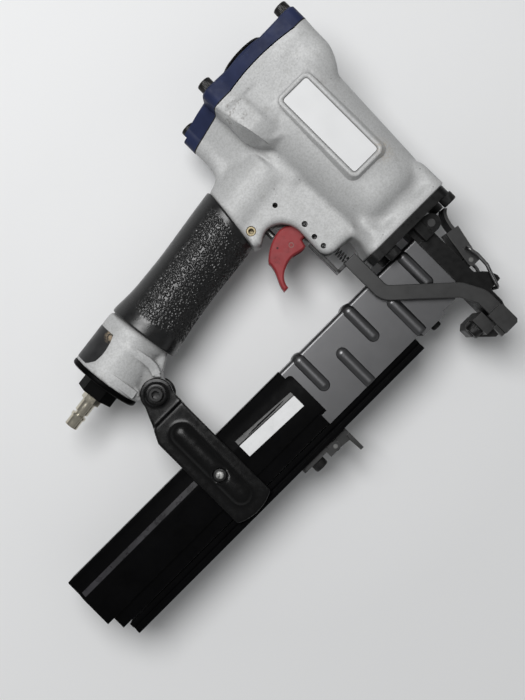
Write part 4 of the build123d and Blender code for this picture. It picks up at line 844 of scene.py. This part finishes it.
def casting_share(p):
    """How softly each place of the casting is blended."""
    x, y, z = p.T
    side = np.abs(z)
    along = (p - np.array(HANDLE)) @ np.array(ALONG)
    low, high = box_of("name_plate")
    plate = between(x, low.x - PLATE_ZONE, high.x + PLATE_ZONE)
    plate &= between(y, low.y - PLATE_ZONE, high.y + PLATE_ZONE)
    plate &= z > PLATE_ZONE_Z
    housing = between(x, *HOUSING_ZONE_X) & (y < HOUSING_ZONE_Y) & (side > HOUSING_ZONE_Z)
    shoulder = (x < SHOULDER_ZONE_X) & (y > SHOULDER_ZONE_Y) & (side > SHOULDER_ZONE_Z)
    share = np.full(len(p), SOFT)
    share[plate | housing | shoulder] = CRISP
    share[(x < LUG_ZONE_X) & (y < LUG_ZONE_Y)] = FIRM
    share[y > SEAM_Y - FACE_ZONE] = MILD
    share[y < BASE_Y + BASE_ZONE] = FIRM
    share[along > BELL_END_S - FACE_ZONE] = MILD
    return share


def plate_outline(grow, r):
    """Outline of the name plate, grown and with round corners."""
    low, high = box_of("name_plate")
    mid = (low + high) / 2
    size = high - low
    return rounded(mid.x, mid.y, size.x + grow, size.y + grow, r)


def seam_cutters():
    """Space above the seam: flat over the bore, arched at the sides, falling along the tongue."""
    rear_y = SEAM_Y - TONGUE_SLOPE * (CAP_REAR_X - CLEAR_REAR_X)
    sky = [(CLEAR_FRONT_X, CLEAR_Y), (CLEAR_REAR_X, CLEAR_Y), (CLEAR_REAR_X, rear_y),
           (CAP_REAR_X, SEAM_Y)]
    arc = []
    for k in range(ARCH_STEPS + 1):
        t = 2 * k / ARCH_STEPS - 1
        arc.append((ARCH_HALF * t, SEAM_Y + ARCH_RISE * (1 - t * t)))
    flat = sky + [(CLEAR_FRONT_X, SEAM_Y)]
    arched = sky + arc + [(CLEAR_FRONT_X, SEAM_Y)]
    return [prism(flat, -LIP_Z, LIP_Z), prism(arched, LIP_Z - OVERLAP, CLEAR_Z),
            prism(arched, -CLEAR_Z, -LIP_Z + OVERLAP)]


def shoulder_fill(side):
    """Sloped top of a rear shoulder, from its ridge into the barrel."""
    loops = []
    for y, x, z, inner_x, inner_z in SHOULDER:
        section = [(x, SHOULDER_FOOT_Z), (x, z), (inner_x, inner_z), (inner_x, SHOULDER_FOOT_Z)]
        loops.append([(px, y, side * pz) for px, pz in section])
    return stacked(loops)


def shoulder_cutter(side):
    """Space beside a rear shoulder, which leaves a crisp ridge over a sloped flank."""
    loops = []
    for y, x, z, _, _ in SHOULDER:
        far = x - SHOULDER_CLEAR
        section = [(x, CLEAR_Z), (x, z), (x - FLANK_RUN, FLANK_Z), (far, FLANK_Z), (far, CLEAR_Z)]
        loops.append([(px, y, side * pz) for px, pz in section])
    return stacked(loops)


def casting_plugs():
    """Fillings of bores, pocket and pin holes, and the tops of the shoulders."""
    low, high = box_of("name_plate")
    plugs = [bore(0, BASE_Y + INSET, CHAMBER_PLUG_Y, CHAMBER_R + CHAMBER_GROW)]
    plugs.append(bore(0, *VALVE_PLUG_Y, VALVE_BORE_R + VALVE_GROW))
    reservoir_end = on_handle(BELL_END_S - INSET)
    plugs.append(rod(on_handle(RESERVOIR_PLUG_S), reservoir_end, RESERVOIR_R + RESERVOIR_GROW))
    outline = plate_outline(PLATE_PLUG_GROW, PLATE_R)
    plugs.append(prism(outline, low.z - PLATE_PLUG_DEEP, high.z + FRAME_PROUD))
    for x, y, r, deep, face in PIN_HOLES:
        plugs.append(rod((x, y, max(deep, -face)), (x, y, face), r + PIN_GROW, 24))
    plugs += [shoulder_fill(side) for side in BOTH_SIDES]
    return plugs


def casting_cutters():
    """Seam, flanks, pocket, bores, slot and pin holes, cut crisp after blending."""
    low, _ = box_of("name_plate")
    cutters = seam_cutters()
    cutters += [shoulder_cutter(side) for side in BOTH_SIDES]
    cutters.append(prism(plate_outline(POCKET_GROW, POCKET_R), low.z - POCKET_DEEP, CLEAR_Z))
    cutters.append(bore(0, BASE_Y - OVERRUN, CHAMBER_TOP_Y, CHAMBER_R))
    cutters.append(bore(0, VALVE_BORE_Y, SEAM_Y + OVERRUN, VALVE_BORE_R))
    cutters.append(rod(on_handle(RESERVOIR_S), on_handle(BELL_END_S + OVERRUN), RESERVOIR_R))
    cutters.append(prism(SLOT, -SLOT_Z, SLOT_Z))
    cutters.append(bore(**STEM_BORE))
    cutters.append(bore(**SPRING_BORE))
    for x, y, r, deep, _ in PIN_HOLES:
        cutters.append(rod((x, y, deep), (x, y, PIN_CLEAR_Z), r, 40))
    return cutters


def casting_skin():
    """Casting with the soft blends of a die casting and crisp machined faces."""
    solids = [nodes[n].data for n in ("body_casting", "cylinder_cap", "cap_gasket")]
    skin = remeshed(joined(solids + casting_plugs()), CASTING_VOXEL)
    skin = softened(skin, casting_share, CASTING_ROUNDS)
    skin = carved(skin, casting_cutters())
    return piece_of("casting_skin", skin, "frame", "casting", "body_casting", angle=38)


def plate_frame():
    """Crisp raised frame round the plate: sloped outside, narrow flat rim, stepped inside."""
    low, high = box_of("name_plate")
    top = high.z + FRAME_PROUD
    rows = [(grow, r, top + z) for grow, r, z in FRAME_ROWS]
    inner_grow, inner_r, _ = FRAME_ROWS[-1]
    rows.append((inner_grow, inner_r, low.z - FRAME_SINK))
    loops = [[(x, y, z) for x, y in plate_outline(grow, r)] for grow, r, z in rows]
    piece_of("plate_frame", stacked(loops), "frame", "casting", angle=50)


def film(name, ends, lower, upper, slot, finish):
    """Thin film on the magazine side: x of its two ends, then its lower and upper y at each."""
    loops = []
    for k in range(FILM_STEPS + 1):
        share = k / FILM_STEPS
        row = []
        for x, y0, y1 in zip(ends, lower, upper):
            y = y0 + (y1 - y0) * share
            row.append((x, y, FILM_Z - max(0.0, y - FILM_BEND) * FILM_SLOPE))
        over = [(x, y, z + FILM_T) for x, y, z in row]
        under = [(x, y, z - FILM_SINK) for x, y, z in reversed(row)]
        loops.append(over + under)
    piece_of(name, stacked(loops), "frame", slot, angle=20, finish=finish)


def films():
    """Bare label, its dark header and a grey strip, with nothing written on them."""
    film("label", LABEL_X, LABEL_LOW, LABEL_MID, "white_plate", "label_white")
    film("label_header", LABEL_X, LABEL_MID, LABEL_TOP, "rail_black", "label_black")
    film("label_strip", STRIP_X, STRIP_LOW, STRIP_TOP, "rail_black", "label_grey")


def bell_film(skin):
    """Plain dark film that wraps the upper rear of the bell, laid on the casting."""
    points = []
    for row in range(BELL_ROWS + 1):
        s = BELL_FILM_S + BELL_FILM_LEN * row / BELL_ROWS
        edge = float(np.interp(s, BELL_EDGE_S, BELL_EDGE))
        for k in range(BELL_SIDES + 1):
            a = math.radians(-BELL_FILM_BACK + (BELL_FILM_BACK + edge) * k / BELL_SIDES)
            t = BELL_MID_T + BELL_HALF_T * math.cos(a)
            points.append(on_handle(s, t, BELL_HALF_Z * math.sin(a)))
    faces = []
    wide = BELL_SIDES + 1
    for row in range(BELL_ROWS):
        for k in range(BELL_SIDES):
            one = row * wide + k
            faces.append([one, one + 1, one + wide + 1, one + wide])
    laid = ("SHRINKWRAP", {"target": skin.data, "wrap_method": "NEAREST_SURFACEPOINT",
                           "wrap_mode": "ABOVE_SURFACE", "offset": BELL_FILM_GAP * MM})
    thick = ("SOLIDIFY", {"thickness": BELL_FILM_T * MM, "offset": -1.0})
    mesh = worked(mesh_of("bell_film", points, faces), laid, thick)
    piece_of("bell_film", mesh, "frame", "black_plastic", finish="film_dark")


def lug_rib(route, side):
    """Crisp flat-topped rib along a route, on one side of the tool."""
    section = [(-w, h) for w, h in RIB_HALF] + RIB_HALF[::-1]
    loops = []
    for k, (x, y, top) in enumerate(route):
        before = route[max(k - 1, 0)]
        after = route[min(k + 1, len(route) - 1)]
        way = Vector((after[0] - before[0], after[1] - before[1])).normalized()
        loops.append([(x - way.y * w, y + way.x * w, side * (top + h)) for w, h in section])
    return stacked(loops)


def lug_ribs():
    """Two ribs that run out of the bell down to the bracket lug, on both sides."""
    ribs = [lug_rib(route, side) for side in BOTH_SIDES for route in (FRONT_RIB, REAR_RIB)]
    piece_of("lug_ribs", joined(ribs), "frame", "casting", angle=30)


def pin_mesh(x, y, r, z0, z1, end):
    """Cross pin; end lists radius and depth below the top of its shaped end."""
    rows = [(r - PIN_CHAMFER, z0), (r, z0 + PIN_CHAMFER)]
    rows += [(radius, z1 - depth) for radius, depth in end]
    return turned(x, y, rows)


def pins():
    """Recessed pin ends in the trigger housing."""
    low, high = box_of("trigger_pin")
    mid = (low + high) / 2
    r = (high.x - low.x) / 2
    axle = pin_mesh(mid.x, mid.y, r, low.z, high.z, [(r, DOMED_RIM)] + DOMED_END)
    piece_of("trigger_pin_end", axle, "frame", "bright_steel", "trigger_pin", finish="pin_steel")
    low, high = box_of("guard_pins")
    x = (low.x + high.x) / 2
    r = (high.x - low.x) / 2
    pair = [pin_mesh(x, high.y - r, r, low.z, high.z, [(r, HOLLOW_RIM)] + HOLLOW_END),
            pin_mesh(x, low.y + r, r, low.z, high.z, [(r, DOMED_RIM)] + DOMED_END)]
    piece_of("guard_pin_ends", joined(pair), "frame", "dark_steel", "guard_pins",
             finish="pin_steel")
    low, high = box_of("valve_pin")
    mid = (low + high) / 2
    r = (high.x - low.x) / 2
    end = [(r, TUBE_RIM), (r - TUBE_WALL, TUBE_LIP)] + TUBE_END
    tube = pin_mesh(mid.x, mid.y, r, low.z, high.z, end)
    piece_of("valve_pin_end", tube, "frame", "brass", "valve_pin")


def rivets():
    """Domed rivets in place of the plain ones, bright where they are rubbed and with a painted
    glint on the dome.
    """
    low, high = box_of("bracket_rivets")
    x = (low.x + high.x) / 2
    y = (low.y + high.y) / 2
    seat = high.z - RIVET_HEAD_H
    rows = [RIVET_ROOT] + [(r, seat + h) for r, h in RIVET_HEAD]
    meshes = [turned(x, y, [(r, side * z) for r, z in rows]) for side in BOTH_SIDES]
    piece_of("rivet_heads", joined(meshes), "frame", "dark_steel", "bracket_rivets", angle=40,
             finish="rivet")


def grip_growth(s):
    """Growth of the grip's section at s, a slight waist and a flared rear lip."""
    grows = [np.interp(s + d, GRIP_STOPS, GRIP_GROWS) for d in GRIP_SMOOTH]
    return float(sum(grows) / len(grows))


def grip_front(t):
    """Where the slanted front end of the grip lies, for a place t across the handle."""
    c, n = math.cos(HANDLE_TILT), math.sin(HANDLE_TILT)
    return (HANDLE.x - GRIP_FRONT_X - (GRIP_LEAN * c + n) * t) / (c - GRIP_LEAN * n)


def pebble(point, share, length):
    """Height of the pebbled grain, which fades out at both ends."""
    fade = smooth_step(share * length, *PEBBLE_FRONT)
    fade *= smooth_step((1 - share) * length, *PEBBLE_REAR)
    worm = noise.noise(point * PEBBLE_SCALE)
    worm += PEBBLE_FINE_SHARE * noise.noise(point * PEBBLE_FINE_SCALE)
    return PEBBLE * fade * smooth_step(worm, *PEBBLE_STEP)


def grip_point(share, a):
    """Point on the outside of the grip, at a share of its length and an angle round it."""
    c, n = math.cos(a), math.sin(a)
    t = GRIP_HALF_T * c
    front = grip_front(t)
    length = GRIP_LEN - front
    s = front + share * length
    to_end = min(share, 1 - share) * length
    inside = max(0.0, GRIP_ROUND - to_end)
    turn_in = GRIP_ROUND - math.sqrt(max(0.0, GRIP_ROUND ** 2 - inside ** 2))
    grain = pebble(on_handle(s, t, GRIP_HALF_Z * n), share, length)
    grow = grip_growth(s) - turn_in
    grow += (1 - smooth_step(c, *SPINE)) * grain
    return on_handle(s, (GRIP_HALF_T + grow) * c, (GRIP_HALF_Z + grow) * n)


def grip_core_point(rear, a):
    """Point on the inside of the grip, at its rear or front end."""
    t = GRIP_CORE_T * math.cos(a)
    s = GRIP_LEN if rear else grip_front(t)
    return on_handle(s, t, GRIP_CORE_Z * math.sin(a))


def grip_skin():
    """Rubber sleeve with rounded ends and a pebbled grain that leaves a smooth spine."""
    rows, sides = GRIP_ROWS, GRIP_SIDES
    turns = turns_of(sides)
    points = [grip_point(row / rows, a) for row in range(rows + 1) for a in turns]
    points += [grip_core_point(rear, a) for rear in (False, True) for a in turns]
    core_front = (rows + 1) * sides
    core_rear = core_front + sides
    bands = [(row * sides, (row + 1) * sides) for row in range(rows)]
    bands += [(core_front, 0), (rows * sides, core_rear), (core_rear, core_front)]
    faces = []
    for one, two in bands:
        faces += band(one, two, sides)
    mesh = mesh_of("grip_skin", points, faces)
    piece_of("grip_skin", mesh, "frame", "grip_rubber", "grip_sleeve", angle=60)


def screw_mesh(length, head_r, head_h, shank_r, across):
    """Socket head screw with a knurled head, standing up along +Z from its seat at the origin."""
    sides = SCREW_SIDES
    deep = head_h - SOCKET_DEEP * across
    outside = [(-length, shank_r, 0), (-0.02, shank_r, 0), (0.0, head_r - 0.35, 0),
               (0.35, head_r - 0.05, KNURL), (head_h - 1.1, head_r - 0.05, KNURL),
               (head_h - 0.8, head_r - 0.1, 0), (head_h - 0.25, head_r - 0.35, 0),
               (head_h, head_r - 0.8, 0)]
    socket = [(head_h, 0.15), (head_h - 0.2, 0.0), (deep, 0.0)]
    points = [Vector((0, 0, -length))]
    for z, r, knurl in outside:
        for k, a in enumerate(turns_of(sides)):
            groove = knurl if k % KNURL_EVERY == 0 else 0
            points.append(Vector(((r - groove) * math.cos(a), (r - groove) * math.sin(a), z)))
    for z, grow in socket:
        for a in turns_of(sides):
            wedge = (a + math.pi / 6) % (math.pi / 3) - math.pi / 6
            r = (across / 2 + grow) / math.cos(wedge)
            points.append(Vector((r * math.cos(a), r * math.sin(a), z)))
    points.append(Vector((0, 0, deep - SOCKET_POINT * across)))
    starts = [1 + row * sides for row in range(len(outside) + len(socket))]
    faces = [[0, 1 + (k + 1) % sides, 1 + k] for k in range(sides)]
    for one, two in zip(starts, starts[1:]):
        faces += band(one, two, sides)
    last = starts[-1]
    faces += [[last + k, last + (k + 1) % sides, len(points) - 1] for k in range(sides)]
    return points, faces


def screws(name, body, node, seats, way, length, size):
    """Knurled screws in place of a node, on seats from which their heads point the same way."""
    local, quads = screw_mesh(length, **size)
    stand = Vector(way).to_track_quat("Z", "Y").to_matrix()
    points, faces = [], []
    for k, seat in enumerate(seats):
        turn = stand @ Matrix.Rotation(SCREW_TURN + SCREW_TURN_STEP * k, 3, "Z")
        start = len(points)
        points += [Vector(seat) + turn @ p for p in local]
        faces += [[start + v for v in quad] for quad in quads]
    piece_of(name, mesh_of(name, points, faces), body, "black_screw", node, angle=28)


def all_screws():
    """Screws of the cap, nose, foot, magazine, bracket and rail."""
    up, down, back, right = (0, 1, 0), (0, -1, 0), (-1, 0, 0), (0, 0, 1)
    lug_z = box_of("bracket_screw")[1].z - M6_LOW["head_h"]
    lug_seat = (LUG_X, LUG_Y, lug_z)
    through = 2 * lug_z + NUT_REACH
    screws("cap_screw_heads", "frame", "cap_screws", CAP_SEATS, up, 18, M6)
    screws("nose_screw_heads", "frame", "nose_screws", NOSE_SEATS, down, 17, M6)
    screws("foot_screw_head", "contact", "foot_screw", [FOOT_SEAT], back, 8.2, M6)
    screws("magazine_screw_head", "frame", "magazine_screw", [MAGAZINE_SEAT], down, 1.8, M4)
    screws("bracket_screw_head", "frame", "bracket_screw", [lug_seat], right, through, M6_LOW)
    screws("rail_screw_head", "rail", "rail_screw", [RAIL_SEAT], down, 9.5, M6)


def coil(name, node, turns, wire):
    """Coil spring in place of a plain tube."""
    low, high = box_of(node)
    radius = (high.x - low.x) / 2 - wire
    x = (low.x + high.x) / 2
    z = (low.z + high.z) / 2
    y0, y1 = low.y + wire, high.y - wire
    steps = turns * COIL_STEPS
    loops = []
    for k in range(steps + 1):
        share = k / steps
        lift = (share * turns - COIL_CLOSED) / (turns - 2 * COIL_CLOSED)
        lift = min(1.0, max(0.0, lift))
        a = 2 * math.pi * turns * share
        out = Vector((math.cos(a), 0, math.sin(a)))
        centre = Vector((x, y0 + (y1 - y0) * lift, z)) + out * radius
        loops.append(ring_of(centre, out, Y_WAY, wire, COIL_SIDES))
    piece = piece_of(name, stacked(loops), "frame", "spring_steel", node, angle=60)
    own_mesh(piece)


def bracket_share(p):
    """How softly each place of a bracket is pressed."""
    share = np.full(len(p), SOFT)
    share[p[:, 1] > EYE_Y] = EYE_SHARE
    return share


def bracket_skin(side):
    """Pressed sheet bracket with soft bends."""
    node = "bracket_" + side
    skin = remeshed(nodes[node].data.copy(), BRACKET_VOXEL)
    skin = softened(skin, bracket_share, BRACKET_ROUNDS)
    piece_of(node + "_skin", skin, "frame", "bracket_black", node, angle=50)


def bevelled(item, width):
    """Gives a solid small rounded edges."""
    weld = item.modifiers.new("weld", "WELD")
    weld.merge_threshold = WELD_GAP * MM
    flat = item.modifiers.new("flat", "DECIMATE")
    flat.decimate_type = "DISSOLVE"
    flat.angle_limit = math.radians(FLAT_ANGLE)
    bevel = item.modifiers.new("bevel", "BEVEL")
    bevel.width = width * MM
    bevel.segments = BEVEL_SEGMENTS
    bevel.angle_limit = math.radians(BEVEL_ANGLE)
    even = item.modifiers.new("even", "WEIGHTED_NORMAL")
    even.keep_sharp = True


def dress_nodes():
    """Finish, shading and rounded edges of the solids."""
    for name, item in nodes.items():
        item.data.materials.clear()
        item.data.materials.append(MATERIALS[FINISH_OF.get(name, slot_of[name])])
        item.data.shade_smooth()
        item.data.set_sharp_from_angle(angle=math.radians(SHARP_ANGLE))
        if name in BEVELS:
            bevelled(item, BEVELS[name])


def seen(tree):
    """1 for rays that show the backdrop: from the camera, by reflection or through glass."""
    path = tree.nodes.new("ShaderNodeLightPath")
    value = path.outputs["Is Camera Ray"]
    for name in ("Is Glossy Ray", "Is Transmission Ray"):
        value = maths_node(tree, "MAXIMUM", value, path.outputs[name])
    return value


def floor_finish():
    """Pale floor that stays pale far from the lamp."""
    s = Shader("floor", gloss=0.3)
    s.main.inputs["Emission Color"].default_value = (1, 1, 1, 1)
    s.colour(s.mix(s.noise(6), scaled(FLOOR_COLOUR, 0.99), FLOOR_COLOUR))
    s.roughness(30, 0.75, 0.85)
    close = s.near((CAMERA_X, CAMERA_Y, 0), GLOW_FROM, GLOW_FULL)
    far = s.maths("SUBTRACT", 1.0, close)
    glow = s.both(s.maths("MULTIPLY", far, FLOOR_GLOW), seen(s.tree))
    s.link(glow, s.main.inputs["Emission Strength"])
    return s.material


def add_floor():
    far = FLOOR_HALF * MM
    corners = [(-far, -far, 0), (far, -far, 0), (far, far, 0), (-far, far, 0)]
    mesh = bpy.data.meshes.new("floor")
    mesh.from_pydata(corners, [], [(0, 1, 2, 3)])
    mesh.materials.append(floor_finish())
    floor = placed("floor", mesh)
    floor.location.z = cad_low.z


def add_sky():
    """Soft light that grows overhead, and a pale backdrop low down that gives no light."""
    world = bpy.data.worlds.new("sky")
    world.use_nodes = True
    tree = world.node_tree
    back = tree.nodes["Background"]
    back.inputs["Color"].default_value = (*SKY, 1)
    place = tree.nodes.new("ShaderNodeTexCoord")
    split = tree.nodes.new("ShaderNodeSeparateXYZ")
    tree.links.new(place.outputs["Generated"], split.inputs["Vector"])
    height = split.outputs["Z"]
    light = ramp_node(tree, height, 0.0, SKY_RISE, HORIZON_LEVEL, ZENITH_LEVEL, "SMOOTHSTEP")
    pale = ramp_node(tree, height, BACKDROP_FROM, BACKDROP_END, BACKDROP_LEVEL, 0.0)
    shown = maths_node(tree, "MULTIPLY", pale, seen(tree))
    total = maths_node(tree, "MAXIMUM", light, shown)
    tree.links.new(total, back.inputs["Strength"])
    bpy.context.scene.world = world


def add_lamp():
    """Round lamp above, aimed at the tool."""
    data = bpy.data.lights.new("lamp", "AREA")
    data.shape = "DISK"
    data.size = LAMP_SIZE * MM
    data.energy = LAMP_POWER
    place = Vector([c * MM for c in LAMP_PLACE])
    aim = Vector((CAMERA_X * MM, CAMERA_Y * MM, 0)) - place
    lamp = placed("lamp", data)
    lamp.location = place
    lamp.rotation_euler = aim.to_track_quat("-Z", "Y").to_euler()


def add_camera():
    data = bpy.data.cameras.new("camera")
    data.lens = CAMERA_LENS
    camera = placed("camera", data)
    camera.location = (CAMERA_X * MM, CAMERA_Y * MM, CAMERA_HEIGHT * MM)
    camera.rotation_euler = (0, 0, math.radians(CAMERA_TURN))
    bpy.context.scene.camera = camera


dress_nodes()
bell_film(casting_skin())
plate_frame()
films()
lug_ribs()
pins()
rivets()
grip_skin()
all_screws()
bracket_skin("right")
bracket_skin("left")
coil("contact_coil", "contact_spring", turns=9, wire=0.4)
coil("valve_coil", "valve_spring", turns=8, wire=0.4)
coil("head_valve_coil", "head_valve_spring", turns=4, wire=1.0)

add_floor()
add_sky()
add_lamp()
add_camera()
bpy.context.scene.view_settings.view_transform = "Standard"
